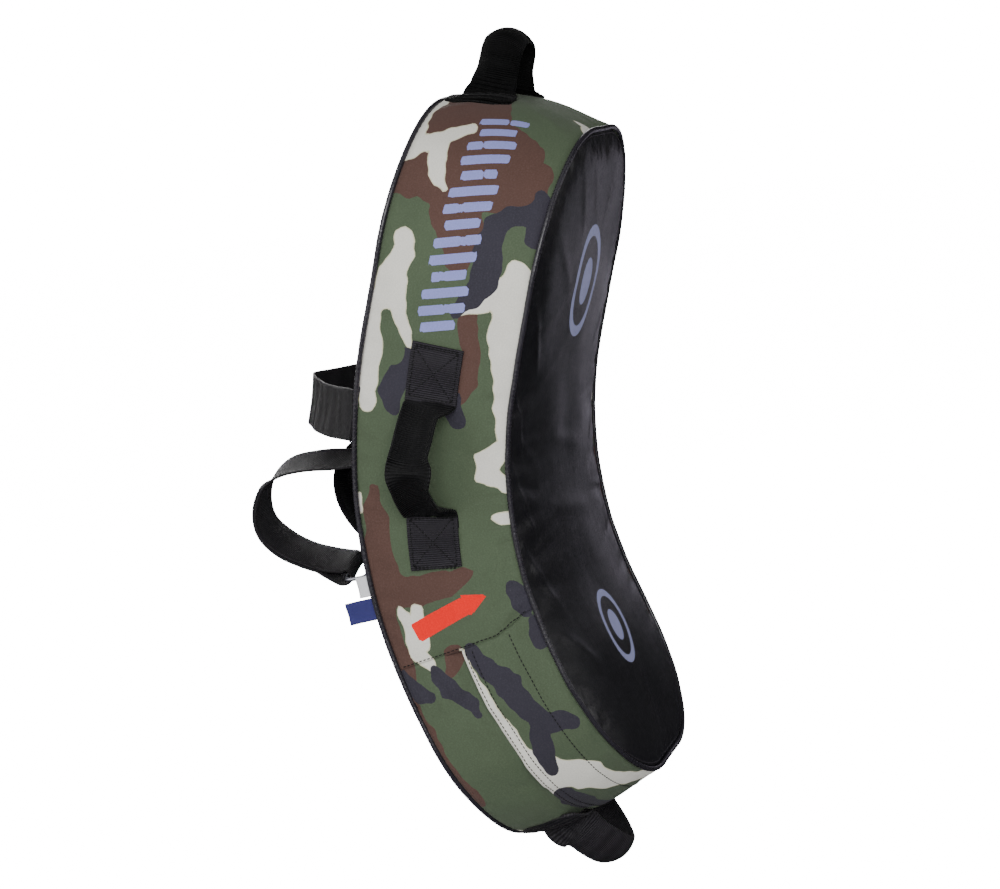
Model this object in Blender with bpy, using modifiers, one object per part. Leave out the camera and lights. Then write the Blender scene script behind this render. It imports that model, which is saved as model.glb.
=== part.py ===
# Curved kick shield: a banana-shaped foam pad in a sewn cover, with webbing
# handles on both sides and both ends and arm straps on its convex back.
# Metres, +Z up.  The origin is the centre of the shield's overall box.
# +Y is the back (straps), -Y is the strike face, X runs across the width, -X is "left".
#
# Most places are given in the pad's own curved coordinates:
#   x  across,   s  along the curved mid-surface (0 halfway, positive upwards),
#   n  from the mid-surface towards the strike face,
#   h  height above the back panel.
import bpy
import bmesh
import math
from collections import namedtuple
from mathutils import Vector, Matrix

for old_object in list(bpy.data.objects):
    bpy.data.objects.remove(old_object, do_unlink=True)

# ----------------------------------------------------------------------------
# Driving dimensions (metres, degrees)
# ----------------------------------------------------------------------------
LENGTH = 0.700            # along the curved mid-surface
WIDTH = 0.350
END_RADIUS = 0.140        # plan radius of the four corners
CORNER_X = WIDTH / 2 - END_RADIUS      # centres of the corner arcs
CORNER_S = LENGTH / 2 - END_RADIUS
CORNER_STEPS = 10
STRAIGHT_STEPS = 14

BEND_FROM, BEND_TO = -0.260, 0.180     # stretch of the length that is curved
LEAN_LOW, LEAN_TOP = -22.5, 17.5       # lean of the straight ends
BEND_RAMP = 0.25          # share of the bend over which the curvature builds up
MID_PLACE_Y, MID_PLACE_Z = -0.0209, -0.0044      # where s = 0, n = 0 lies

GAP = 0.0003              # clearance between neighbouring layers
PANEL_T = 0.0030          # faux leather on the two faces
PANEL_N = 0.0740          # outer face of the panels
PIPE_R, PIPE_N, PIPE_OFFSET = 0.0030, 0.0745, -0.0005

# The side wall swells between its seams, most at the top end
SWELL_SIDE, SWELL_TOP, SWELL_BOTTOM = 0.0030, 0.0110, 0.0070
END_ZONE_FROM, END_ZONE_LENGTH = 0.27, 0.07      # where the sides blend into the ends

WEB_W, WEB_T = 0.050, 0.0024           # strap webbing
GRIP_W, GRIP_T = 0.040, 0.0040         # widest part and thickness of the grips
PINCHED_W = 0.014         # grips and upper strap narrow to this at their ends
PATCH_T = 0.0025          # sewn patches
FOOT_GAP = 0.003          # between a grip's foot and its patch

X_AXIS = Vector((1, 0, 0))
BACKWARD = Vector((0, 1, 0))

# ----------------------------------------------------------------------------
# Finishes
# ----------------------------------------------------------------------------
Finish = namedtuple("Finish", "colour roughness metallic", defaults=[0.0])

CAMO_COLOUR = (0.10, 0.13, 0.06)
LEATHER_COLOUR = (0.02, 0.02, 0.024)
NYLON_COLOUR = (0.012, 0.012, 0.014)

STRIKE_FOAM = Finish(colour=(0.16, 0.16, 0.17), roughness=0.9)
CORE_FOAM = Finish(colour=(0.55, 0.56, 0.58), roughness=0.9)
BACK_FOAM = Finish(colour=(0.30, 0.31, 0.34), roughness=0.9)
CAMO = Finish(colour=CAMO_COLOUR, roughness=0.8)
LEATHER = Finish(colour=LEATHER_COLOUR, roughness=0.42)
PIPING = Finish(colour=LEATHER_COLOUR, roughness=0.45)
BACK_CLOTH = Finish(colour=NYLON_COLOUR, roughness=0.7)
GRIP_WEBBING = Finish(colour=NYLON_COLOUR, roughness=0.8)
WEBBING = Finish(colour=NYLON_COLOUR, roughness=0.85)
HOOK_AND_LOOP = Finish(colour=NYLON_COLOUR, roughness=0.95)
STEEL = Finish(colour=(0.55, 0.55, 0.57), roughness=0.3, metallic=1.0)
WHITE_WEAVE = Finish(colour=(0.8, 0.8, 0.8), roughness=0.6)
BLUE_WEAVE = Finish(colour=(0.03, 0.05, 0.35), roughness=0.6)


def smooth_step(t):
    t = max(0.0, min(1.0, t))
    return t * t * (3 - 2 * t)


# ----------------------------------------------------------------------------
# The curved mid-surface
# ----------------------------------------------------------------------------
PROFILE_REACH = 0.5       # the profile is tabulated from -reach to +reach
PROFILE_STEPS = 2000
PROFILE_STEP = 2 * PROFILE_REACH / PROFILE_STEPS


def build_profile():
    """Tables of lean, y and z along s; y and z are zero at s = 0."""
    low, top = math.radians(LEAN_LOW), math.radians(LEAN_TOP)

    def curvature(s):
        t = (s - BEND_FROM) / (BEND_TO - BEND_FROM)
        return max(0.0, min(1.0, t / BEND_RAMP, (1 - t) / BEND_RAMP))

    bend = [curvature(-PROFILE_REACH + i * PROFILE_STEP) for i in range(PROFILE_STEPS + 1)]
    total = sum((a + b) / 2 * PROFILE_STEP for a, b in zip(bend, bend[1:]))
    turned, lean = 0.0, [low]
    for a, b in zip(bend, bend[1:]):
        turned += (a + b) / 2 * PROFILE_STEP
        lean.append(low + (top - low) * turned / total)
    y, z = [0.0], [0.0]
    for a, b in zip(lean, lean[1:]):
        y.append(y[-1] - (math.sin(a) + math.sin(b)) / 2 * PROFILE_STEP)
        z.append(z[-1] + (math.cos(a) + math.cos(b)) / 2 * PROFILE_STEP)
    middle = PROFILE_STEPS // 2
    return lean, [v - y[middle] for v in y], [v - z[middle] for v in z]


PROFILE_LEAN, PROFILE_Y, PROFILE_Z = build_profile()


def sample(values, s):
    place = (s + PROFILE_REACH) / PROFILE_STEP
    i = max(0, min(len(values) - 2, int(place)))
    return values[i] + (values[i + 1] - values[i]) * (place - i)


def point(x, s, n):
    lean = sample(PROFILE_LEAN, s)
    return Vector((x,
                   MID_PLACE_Y + sample(PROFILE_Y, s) - n * math.cos(lean),
                   MID_PLACE_Z + sample(PROFILE_Z, s) - n * math.sin(lean)))


def frame_at(s):
    """Unit vectors at s: along the length, and out of the back."""
    lean = sample(PROFILE_LEAN, s)
    return (Vector((0, -math.sin(lean), math.cos(lean))),
            Vector((0, math.cos(lean), math.sin(lean))))


def back(x, s, h):
    """A point h above the back panel."""
    return point(x, s, -(PANEL_N + h))


# ----------------------------------------------------------------------------
# Plan outline
# ----------------------------------------------------------------------------
def rows(offset):
    """(s, half width) stations of the rounded outline from bottom to top, grown by offset."""
    radius = END_RADIUS + offset
    arc = [i * math.pi / 2 / CORNER_STEPS for i in range(1, CORNER_STEPS + 1)]
    corner = [(CORNER_S + radius * math.sin(a), CORNER_X + radius * math.cos(a)) for a in arc]
    straight = [(CORNER_S * (2 * i / STRAIGHT_STEPS - 1), CORNER_X + radius)
                for i in range(STRAIGHT_STEPS + 1)]
    return [(-s, half) for s, half in reversed(corner)] + straight + corner


def outline(offset):
    """The whole outline as (x, s), up the left, over the top and down the right."""
    half = rows(offset)
    left = [(-w, s) for s, w in half]
    right = [(w, s) for s, w in reversed(half)]
    return left + [(0.0, half[-1][0])] + right + [(0.0, half[0][0])]


def cut_path(offset, cut, above):
    """The part of the outline above (or below) s = cut, as (x, s) from left to right."""
    half = rows(offset)
    kept = [(-w, s) for s, w in half if (s > cut + 1e-4 if above else s < cut - 1e-4)]
    if not above:
        kept.reverse()
    left = [(-(WIDTH / 2 + offset), cut)] + kept
    return left + [(0.0, kept[-1][1])] + [(-x, s) for x, s in reversed(left)]


def end_share(s):
    """0 along the side, rising to 1 at the top end; use -s for the bottom end."""
    return smooth_step((s - END_ZONE_FROM) / END_ZONE_LENGTH)


def swell(s, n):
    """How far the side wall stands out of the plan outline."""
    most = (SWELL_SIDE + (SWELL_TOP - SWELL_SIDE) * end_share(s)
            + (SWELL_BOTTOM - SWELL_SIDE) * end_share(-s))
    return most * (1 - (n / PIPE_N) ** 2) ** (2 if n > 0 else 1)      # fuller towards the back


# ----------------------------------------------------------------------------
# Making objects
# ----------------------------------------------------------------------------
parts = bpy.data.collections.new("kick_shield")
bpy.context.scene.collection.children.link(parts)


def material(name, finish):
    mat = bpy.data.materials.new(name)
    mat.use_nodes = True
    shader = mat.node_tree.nodes["Principled BSDF"]
    shader.inputs["Base Color"].default_value = (*finish.colour, 1)
    shader.inputs["Roughness"].default_value = finish.roughness
    shader.inputs["Metallic"].default_value = finish.metallic
    mat.diffuse_color = (*finish.colour, 1)
    return mat


def add(name, data, finish, pivot):
    """Link an object whose data is already relative to its pivot."""
    data.materials.append(material(name, finish))
    ob = bpy.data.objects.new(name, data)
    parts.objects.link(ob)
    ob.parent = pivot
    return ob


def add_pivot(name, place):
    empty = bpy.data.objects.new(name, None)
    empty.empty_display_size = 0.02
    empty.location = place
    parts.objects.link(empty)
    return empty


def sheet(name, grid, thickness, side, outward, finish, pivot=None):
    """A curved sheet from a grid of points, thickened with Solidify.
    side -1 thickens away from outward, +1 towards it, 0 both ways.
    With outward None, the sheet faces away from the Y axis."""
    row_count, column_count = len(grid), len(grid[0])
    bm = bmesh.new()
    bmesh.ops.create_grid(bm, x_segments=column_count - 1, y_segments=row_count - 1, size=1)
    bm.verts.ensure_lookup_table()
    for i, row in enumerate(grid):
        for j, place in enumerate(row):
            bm.verts[i * column_count + j].co = place
    bm.normal_update()
    bm.faces.ensure_lookup_table()
    face = bm.faces[len(bm.faces) // 2]
    if outward is None:
        centre = face.calc_center_median()
        outward = Vector((centre.x, 0, centre.z))
    if face.normal.dot(outward) < 0:
        bmesh.ops.reverse_faces(bm, faces=bm.faces[:])
    mesh = bpy.data.meshes.new(name)
    bm.to_mesh(mesh)
    bm.free()
    if pivot:
        mesh.transform(Matrix.Translation(-pivot.location))
    ob = add(name, mesh, finish, pivot)
    mesh.shade_smooth()
    mesh.set_sharp_from_angle(angle=math.radians(40))
    solidify = ob.modifiers.new("thickness", 'SOLIDIFY')
    solidify.thickness = thickness
    solidify.offset = side
    solidify.use_even_offset = True


def slab(name, front_n, thickness, offset, finish, longer_top=0.0):
    """A layer of the plan outline, its front at front_n, its top end longer by longer_top."""
    grid = []
    for s, half in rows(offset):
        s += longer_top * end_share(s)
        grid.append([point(-half, s, front_n), point(half, s, front_n)])
    sheet(name, grid, thickness, -1, -BACKWARD, finish)


def band(name, offset, cut, above, stations, thickness, finish, step=lambda n: 0.0):
    """A strip of side wall above or below cut, offset from the outline, swelling
    between the seams and standing out by step(n) more."""
    probe = 0.01          # a second path this far out gives the outward direction
    near, far = cut_path(offset, cut, above), cut_path(offset + probe, cut, above)
    grid = []
    for (x, s), (far_x, far_s) in zip(near, far):
        line = []
        for n in stations:
            share = (swell(s, n) + step(n)) / probe
            line.append(point(x + (far_x - x) * share, s + (far_s - s) * share, n))
        grid.append(line)
    sheet(name, grid, thickness, -1, None, finish)


def closed_tube(name, points, radius, finish, resolution=1, pivot=None):
    curve = bpy.data.curves.new(name, 'CURVE')
    curve.dimensions = '3D'
    curve.bevel_depth = radius
    curve.bevel_resolution = resolution
    curve.use_fill_caps = True
    spline = curve.splines.new('POLY')
    spline.points.add(len(points) - 1)
    origin = pivot.location if pivot else Vector()
    for spline_point, place in zip(spline.points, points):
        spline_point.co = (*(place - origin), 1)
    spline.use_cyclic_u = True
    add(name, curve, finish, pivot)


def ribbon(name, centres, widths, across, thickness, finish, pivot, outward=BACKWARD):
    """Webbing: a strip along centres, as wide as widths, laid along across."""
    grid = [[c - a * w / 2, c, c + a * w / 2] for c, w, a in zip(centres, widths, across)]
    sheet(name, grid, thickness, 0, outward, finish, pivot)


def pinched(openness, full_width=GRIP_W, end_width=PINCHED_W):
    """Width of webbing that is narrow at its sewn end and full once openness is 1."""
    return end_width + (full_width - end_width) * smooth_step(openness)


def arched_grip(name, pivot, axis, half_span, rise, height, across, outward,
                segments, arch_power, width_rate, span_power=1.0):
    """A grip arching over its pivot, from -axis to +axis.  The powers shape the
    arch; the width opens sooner with a higher width_rate."""
    centres, widths = [], []
    for i in range(segments + 1):
        t = i / segments * math.pi
        reach = math.copysign(abs(math.cos(t)) ** span_power, math.cos(t))
        centres.append(pivot.location - axis * (half_span * reach)
                       + rise * (height * math.sin(t) ** arch_power))
        widths.append(pinched(math.sin(t) * width_rate))
    ribbon(name, centres, widths, [across] * len(centres), GRIP_T, GRIP_WEBBING, pivot, outward)


def back_patch(name, grid):
    """A patch on the back panel, from a grid of (x, s)."""
    places = [[back(x, s, GAP) for x, s in row] for row in grid]
    sheet(name, places, PATCH_T, 1, BACKWARD, WEBBING)


def strip_grid(x, width, stations):
    return [[(x - width / 2, s), (x + width / 2, s)] for s in stations]


def smooth_path(knots, steps):
    """Catmull-Rom through the knots, with the given steps between them."""
    path = []
    padded = [knots[0]] + list(knots) + [knots[-1]]
    for i in range(1, len(padded) - 2):
        for j in range(steps):
            t = j / steps
            path.append(tuple(
                0.5 * (2 * b + (c - a) * t + (2 * a - 5 * b + 4 * c - d) * t * t
                       + (3 * b - a - 3 * c + d) * t ** 3)
                for a, b, c, d in zip(*padded[i - 1:i + 3])))
    path.append(tuple(knots[-1]))
    return path


def offset_path(path, distance):
    """An (s, h) path moved sideways by distance."""
    moved = []
    for i, (s, h) in enumerate(path):
        before, after = path[max(0, i - 1)], path[min(len(path) - 1, i + 1)]
        run_s, run_h = after[0] - before[0], after[1] - before[1]
        run = math.hypot(run_s, run_h)
        moved.append((s + distance * run_h / run, h - distance * run_s / run))
    return moved


# ----------------------------------------------------------------------------
# Foam inside the cover
# ----------------------------------------------------------------------------
GUSSET_T = 0.0050         # padded side fabric
FOAM_N = PANEL_N - PANEL_T - GAP
FOAM_OFFSET = -(GUSSET_T + 0.0006)
STRIKE_FOAM_T, BACK_FOAM_T = 0.030, 0.025
CORE_FOAM_T = 2 * FOAM_N - STRIKE_FOAM_T - BACK_FOAM_T - 2 * GAP

slab("strike_foam", FOAM_N, STRIKE_FOAM_T, FOAM_OFFSET, STRIKE_FOAM)
slab("core_foam", FOAM_N - STRIKE_FOAM_T - GAP, CORE_FOAM_T, FOAM_OFFSET, CORE_FOAM,
     longer_top=0.0050)
slab("back_foam", -FOAM_N + BACK_FOAM_T, BACK_FOAM_T, FOAM_OFFSET, BACK_FOAM)

# ----------------------------------------------------------------------------
# Cover: two panels, the piping round them and the side wall between
# ----------------------------------------------------------------------------
PANEL_OFFSET = PIPE_OFFSET - PIPE_R - 0.0004
EDGE_N = PIPE_N - PIPE_R - 0.0008      # edges of the side wall, just inside the piping
HEM_S = -0.150            # where the upper gusset ends
CLOSURE_S = HEM_S - 0.0006             # where the closure starts
TAPE_S = CLOSURE_S - 0.004
SKIN_T = 0.0012           # single layers at the closure
FLAP_EDGE_N = -0.006      # free edge of the closure flap
TAPE_T = 0.0010
TAPE_N0, TAPE_N1 = -0.001, 0.041
HOOK_OFFSET = -(SKIN_T + GAP)          # the layers under the flap, going inwards
LOOP_OFFSET = HOOK_OFFSET - (TAPE_T + GAP)
LOWER_OFFSET = LOOP_OFFSET - (TAPE_T + GAP)
LOWER_STEP = 0.0042       # how far the lower gusset comes out beside the flap
# n across the lower gusset, from the back seam to under the tape
LOWER_STATIONS = [-EDGE_N, -0.066, -0.054, -0.038, -0.022, -0.010, 0.004, 0.024,
                  TAPE_N1 + 0.003]


def even_stations(start, end, steps):
    return [start + (end - start) * i / steps for i in range(steps + 1)]


def clear_of_flap(n):
    """The lower gusset is tucked in under the flap and comes out flush beside it."""
    return LOWER_STEP * smooth_step((-0.010 - n) / 0.012) * smooth_step((n + 0.0735) / 0.010)


slab("strike_panel", PANEL_N, PANEL_T, PANEL_OFFSET, LEATHER)
slab("back_panel", -PANEL_N + PANEL_T, PANEL_T, PANEL_OFFSET, BACK_CLOTH)

band("upper_gusset", 0.0, HEM_S, True, even_stations(-EDGE_N, EDGE_N, 8), GUSSET_T, CAMO)
band("closure_flap", 0.0, CLOSURE_S, False, even_stations(FLAP_EDGE_N, EDGE_N, 6), SKIN_T, CAMO)
for name, offset in (("flap_hook_tape", HOOK_OFFSET), ("gusset_loop_tape", LOOP_OFFSET)):
    band(name, offset, TAPE_S, False, even_stations(TAPE_N0, TAPE_N1, 4), TAPE_T, HOOK_AND_LOOP)
band("lower_gusset", LOWER_OFFSET, CLOSURE_S, False, LOWER_STATIONS, SKIN_T, CAMO,
     clear_of_flap)

for name, n in (("front_piping", PIPE_N), ("back_piping", -PIPE_N)):
    closed_tube(name, [point(x, s, n) for x, s in outline(PIPE_OFFSET)], PIPE_R, PIPING)

# ----------------------------------------------------------------------------
# Side handles: two sewn patches and a grip that swings on them
# ----------------------------------------------------------------------------
SIDE_PATCH_TOP, SIDE_PATCH_LOW = (0.0865, 0.1405), (-0.0735, -0.0195)     # s from, to
SIDE_AXIS_H, SIDE_PEAK_H = 0.0090, 0.0380        # above the side wall
SIDE_LEAN = 10.0          # towards the back


def side_handle(tag, side):
    wall_x = side * (WIDTH / 2 + SWELL_SIDE + GAP)
    out = X_AXIS * side
    for end, (s0, s1) in (("top", SIDE_PATCH_TOP), ("bottom", SIDE_PATCH_LOW)):
        low, high = point(wall_x, s0, 0), point(wall_x, s1, 0)
        half_across = (high - low).normalized().cross(out).normalized() * WEB_W / 2
        grid = [[place - half_across, place + half_across] for place in (low, high)]
        sheet(f"{tag}_handle_{end}_patch", grid, PATCH_T, 1, out, WEBBING)
    high = point(wall_x, SIDE_PATCH_TOP[0] - FOOT_GAP, 0) + out * SIDE_AXIS_H
    low = point(wall_x, SIDE_PATCH_LOW[1] + FOOT_GAP, 0) + out * SIDE_AXIS_H
    axis = (high - low).normalized()
    rise = (Matrix.Rotation(math.radians(SIDE_LEAN * side), 4, axis) @ out).normalized()
    pivot = add_pivot(f"{tag}_handle_pivot", (high + low) / 2)
    arched_grip(f"{tag}_handle_grip", pivot, axis, (high - low).length / 2,
                rise, SIDE_PEAK_H - SIDE_AXIS_H, axis.cross(rise).normalized(), out,
                segments=24, arch_power=1.15, width_rate=1.3)


side_handle("left", -1)
side_handle("right", 1)

# ----------------------------------------------------------------------------
# End handles, nearer the back than the strike face
# ----------------------------------------------------------------------------
END_AXIS_H, TOP_PEAK_H, BOTTOM_PEAK_H = 0.0100, 0.0665, 0.0625
END_HALF_SPAN = 0.0300
TOP_N, BOTTOM_N = -0.0300, -0.0390
TOP_PATCH_W = 0.0580
BOTTOM_LEAN = 18.0        # towards the strike face
END_PATCH_X = (0.0310, 0.0350, 0.0460, 0.0569, 0.0640)     # columns of each sewn patch
TOP_PATCH_STATIONS = even_stations(TOP_N - TOP_PATCH_W / 2, TOP_N + TOP_PATCH_W / 2, 4)
BOTTOM_PATCH_STATIONS = LOWER_STATIONS[1:6]


def end_wall(x, n, lift, top):
    """A point of the top or bottom end wall, lift above it."""
    out_x = max(0.0, (abs(x) - CORNER_X) / END_RADIUS)
    out_s = math.sqrt(1 - out_x ** 2)
    s = CORNER_S + END_RADIUS * out_s
    sign = 1 if top else -1
    rise = lift + swell(sign * s, n)
    if not top:
        rise += LOWER_OFFSET + clear_of_flap(n)
    return point(math.copysign(abs(x) + out_x * rise, x), sign * (s + out_s * rise), n)


def end_handle(tag, top, lean, centre_n, stations, peak_h):
    sign = 1 if top else -1
    for side, word in ((-1, "left"), (1, "right")):
        grid = [[end_wall(side * x, n, GAP, top) for n in stations] for x in END_PATCH_X]
        sheet(f"{tag}_handle_{word}_end", grid, PATCH_T, 1, Vector((0, 0, sign)), WEBBING)
    along, _ = frame_at(sign * LENGTH / 2)
    out = along * sign
    rise = Matrix.Rotation(math.radians(lean * sign), 4, X_AXIS) @ out
    pivot = add_pivot(f"{tag}_handle_pivot",
                      end_wall(0.0, centre_n, 0.0, top) + out * END_AXIS_H)
    arched_grip(f"{tag}_handle_grip", pivot, X_AXIS, END_HALF_SPAN,
                rise, peak_h - END_AXIS_H, X_AXIS.cross(rise).normalized(), out,
                segments=28, arch_power=0.9, width_rate=1.15, span_power=0.8)


end_handle("top", True, 0.0, TOP_N, TOP_PATCH_STATIONS, TOP_PEAK_H)
end_handle("bottom", False, BOTTOM_LEAN, BOTTOM_N, BOTTOM_PATCH_STATIONS, BOTTOM_PEAK_H)

# ----------------------------------------------------------------------------
# Back: full-width upper arm strap
# ----------------------------------------------------------------------------
UPPER_S, UPPER_DROOP = 0.065, 0.016
UPPER_AXIS_H, UPPER_H = 0.0085, 0.100
UPPER_END_X = 0.164
UPPER_PATCH_X = (0.150, 0.1700)
UPPER_ARCH_POWER = 1.12   # 1 would make two straight slopes
UPPER_FLATTENING = 0.06   # share of the height lost at the crown
UPPER_SEGMENTS = 32


def upper_arm_strap():
    for side, word in ((-1, "left"), (1, "right")):
        back_patch(f"upper_strap_{word}_end",
                   [[(side * x, UPPER_S + shift) for shift in (-WEB_W / 2, 0, WEB_W / 2)]
                    for x in UPPER_PATCH_X])
    along, out = frame_at(UPPER_S)
    pivot = add_pivot("upper_strap_pivot", back(0, UPPER_S, UPPER_AXIS_H))
    centres, widths = [], []
    for i in range(UPPER_SEGMENTS + 1):
        u = -1 + 2 * i / UPPER_SEGMENTS
        rise = 1 - abs(u) ** UPPER_ARCH_POWER
        rise *= 1 - UPPER_FLATTENING * math.cos(u * math.pi / 2) ** 8
        centres.append(pivot.location + X_AXIS * (u * UPPER_END_X)
                       + out * (UPPER_H - UPPER_AXIS_H) * rise
                       - along * UPPER_DROOP * (1 - u * u))
        widths.append(pinched((1 - abs(u)) * 5, WEB_W))
    ribbon("upper_arm_strap", centres, widths, [along] * len(centres), WEB_T, GRIP_WEBBING,
           pivot)


upper_arm_strap()

# ----------------------------------------------------------------------------
# Back: adjustable lower arm strap, threaded through a ring and folded back
# ----------------------------------------------------------------------------
ARM_X = -0.105            # centre of the strap
ARM_TILT = math.radians(12.0)          # slant of the strap's width against X
ARM_DIP = 0.18            # how much the +X edge of the raised strap dips to the pad
RING_S, RING_IN, RING_OUT = -0.0665, 0.0190, 0.0400        # s; h of inner and outer bars
RING_WIRE_R, RING_HALF_W, RING_CORNER_R = 0.0020, 0.0290, 0.005
TAB_W, TAB_T, TAB_R = 0.024, 0.0016, 0.0036
TAB_FOOT_H, TAB_BEND_H = 0.0090, 0.0140
FOLD_R = 0.0058           # turn of the strap round the ring's outer bar
FOLD_H = RING_OUT + 0.001
FOLD_EXIT = (-0.0712, 0.049)           # (s, h) just after the fold
PLY_PITCH = WEB_T + 0.0018             # between the strap and its folded tail
HOOK_PATCH_W, HOOK_PATCH_T = 0.042, 0.0010
ARM_PATCH_S = (0.0245, 0.034, 0.0435, 0.053)
TAB_PATCH_S = (-0.086, -0.0765, -0.067, -0.0575)
# Knots (s, h) of the strap, from its upper sewn end over the arm to the ring
ARM_KNOTS = [
    (0.0215, 0.0105), (0.0195, 0.022), (0.0175, 0.037), (0.0150, 0.066),
    (0.0075, 0.095), (-0.004, 0.1125), (-0.0165, 0.1195), (-0.029, 0.116),
    (-0.040, 0.102), (-0.050, 0.082), (-0.0565, 0.061), (-0.0600, 0.046),
]


def slanted(s, dip=0.0):
    """Unit vector across the tilted strap."""
    along, out = frame_at(s)
    return (X_AXIS * math.cos(ARM_TILT) + along * math.sin(ARM_TILT) - out * dip).normalized()


def arm_ribbon(name, path, widths, thickness, finish, pivot):
    """Webbing along an (s, h) path that dips once it is clear of the pad."""
    ribbon(name, [back(ARM_X, s, h) for s, h in path], widths,
           [slanted(s, ARM_DIP * smooth_step((h - 0.03) / 0.06)) for s, h in path],
           thickness, finish, pivot)


def arm_strap(pivot):
    main = smooth_path(ARM_KNOTS, 4)
    fold = [(RING_S + FOLD_R * math.cos(math.pi * i / 8), FOLD_H - FOLD_R * math.sin(math.pi * i / 8))
            for i in range(9)]
    outer = reversed(offset_path(main, PLY_PITCH))
    tail = [(s, h) for s, h in outer if h > 0.066 and s < 0.002]
    joining = smooth_path([fold[-1], FOLD_EXIT, tail[0]], 3)[1:]
    path = main + fold + joining + tail[1:]
    rising = len(main) // 2            # only the sewn end is narrowed
    widths = [pinched((h - 0.008) / 0.03, WEB_W, TAB_W) if i < rising else WEB_W
              for i, (s, h) in enumerate(path)]
    arm_ribbon("arm_strap", path, widths, WEB_T, WEBBING, pivot)

    # hook patch between the strap and its tail
    hooks = [(s, h) for s, h in offset_path(main, PLY_PITCH / 2) if h > 0.070 and s < -0.020]
    arm_ribbon("arm_strap_hook_patch", hooks, [HOOK_PATCH_W] * len(hooks), HOOK_PATCH_T,
               HOOK_AND_LOOP, pivot)
    back_patch("arm_strap_patch", strip_grid(ARM_X, WEB_W, ARM_PATCH_S))


def strap_ring():
    """A rounded rectangle of wire."""
    _, out = frame_at(RING_S)
    across = slanted(RING_S)
    centre = back(ARM_X, RING_S, (RING_IN + RING_OUT) / 2)
    corner_x = RING_HALF_W - RING_CORNER_R
    corner_h = (RING_OUT - RING_IN) / 2 - RING_CORNER_R
    points = []
    for side_x, side_h, start in ((1, 1, 0), (-1, 1, 90), (-1, -1, 180), (1, -1, 270)):
        for i in range(4):
            t = math.radians(start + 30 * i)
            points.append(centre + across * (side_x * corner_x + RING_CORNER_R * math.cos(t))
                          + out * (side_h * corner_h + RING_CORNER_R * math.sin(t)))
    pivot = add_pivot("ring_pivot", back(ARM_X, RING_S, RING_IN))
    closed_tube("strap_ring", points, RING_WIRE_R, STEEL, resolution=2, pivot=pivot)


def ring_tab(pivot):
    """A short loop of webbing round the ring's inner bar, and its patch."""
    bend = [(RING_S - TAB_R * math.cos(math.pi * i / 6), RING_IN + TAB_R * math.sin(math.pi * i / 6))
            for i in range(7)]
    path = [(RING_S - TAB_R, TAB_FOOT_H), (RING_S - TAB_R, TAB_BEND_H), *bend,
            (RING_S + TAB_R, TAB_BEND_H), (RING_S + TAB_R, TAB_FOOT_H)]
    ribbon("ring_tab", [back(ARM_X, s, h) for s, h in path], [TAB_W] * len(path),
           [slanted(RING_S)] * len(path), TAB_T, WEBBING, pivot)
    back_patch("ring_tab_patch", strip_grid(ARM_X, WEB_W, TAB_PATCH_S))


anchor_s, anchor_h = ARM_KNOTS[0]
arm_pivot = add_pivot("arm_strap_pivot", (back(ARM_X, anchor_s, anchor_h)
                                          + back(ARM_X, RING_S, anchor_h)) / 2)
arm_strap(arm_pivot)
strap_ring()
ring_tab(arm_pivot)

# ----------------------------------------------------------------------------
# Back: hand grip
# ----------------------------------------------------------------------------
HAND_X = -0.040
HAND_TOP_S, HAND_LOW_S = 0.043, -0.062
HAND_AXIS_H, HAND_PEAK_H = 0.0100, 0.0620
HAND_PATCH_LENGTH = 0.030


def hand_grip():
    high, low = back(HAND_X, HAND_TOP_S, HAND_AXIS_H), back(HAND_X, HAND_LOW_S, HAND_AXIS_H)
    axis = (high - low).normalized()
    pivot = add_pivot("hand_grip_pivot", (high + low) / 2)
    arched_grip("hand_grip", pivot, axis, (high - low).length / 2,
                axis.cross(X_AXIS), HAND_PEAK_H - HAND_AXIS_H, X_AXIS, BACKWARD,
                segments=24, arch_power=0.95, width_rate=1.2)
    for word, start in (("top", HAND_TOP_S + FOOT_GAP),
                        ("bottom", HAND_LOW_S - FOOT_GAP - HAND_PATCH_LENGTH)):
        stations = even_stations(start, start + HAND_PATCH_LENGTH, 2)
        back_patch(f"hand_grip_{word}_patch", strip_grid(HAND_X, GRIP_W, stations))


hand_grip()

# ----------------------------------------------------------------------------
# Two small woven tags sewn into the back seam on the left
# ----------------------------------------------------------------------------
TAG_X = -(WIDTH / 2 + PIPE_OFFSET)
TAG_N = -(PIPE_N + PIPE_R + 0.0010)    # just behind the piping
TAG_ROOT, TAG_T = 0.0006, 0.0008
# name, s of the upper and lower edges, reach out of the seam, finish
TAGS = [
    ("white_tag", -0.0660, -0.0835, 0.014, WHITE_WEAVE),
    ("blue_tag", -0.0850, -0.1035, 0.026, BLUE_WEAVE),
]

for name, upper_s, lower_s, reach, finish in TAGS:
    upper, lower = point(TAG_X, upper_s, TAG_N), point(TAG_X, lower_s, TAG_N)
    out = (upper - lower).normalized().cross(X_AXIS)
    pivot = add_pivot(name + "_pivot", (upper + lower) / 2)
    grid = [[upper + out * far, lower + out * far] for far in (TAG_ROOT, reach)]
    sheet(name, grid, TAG_T, 0, -X_AXIS, finish, pivot)

bpy.context.view_layer.update()
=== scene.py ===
import math

import bpy
import numpy as np
from mathutils import Matrix, Vector


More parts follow.
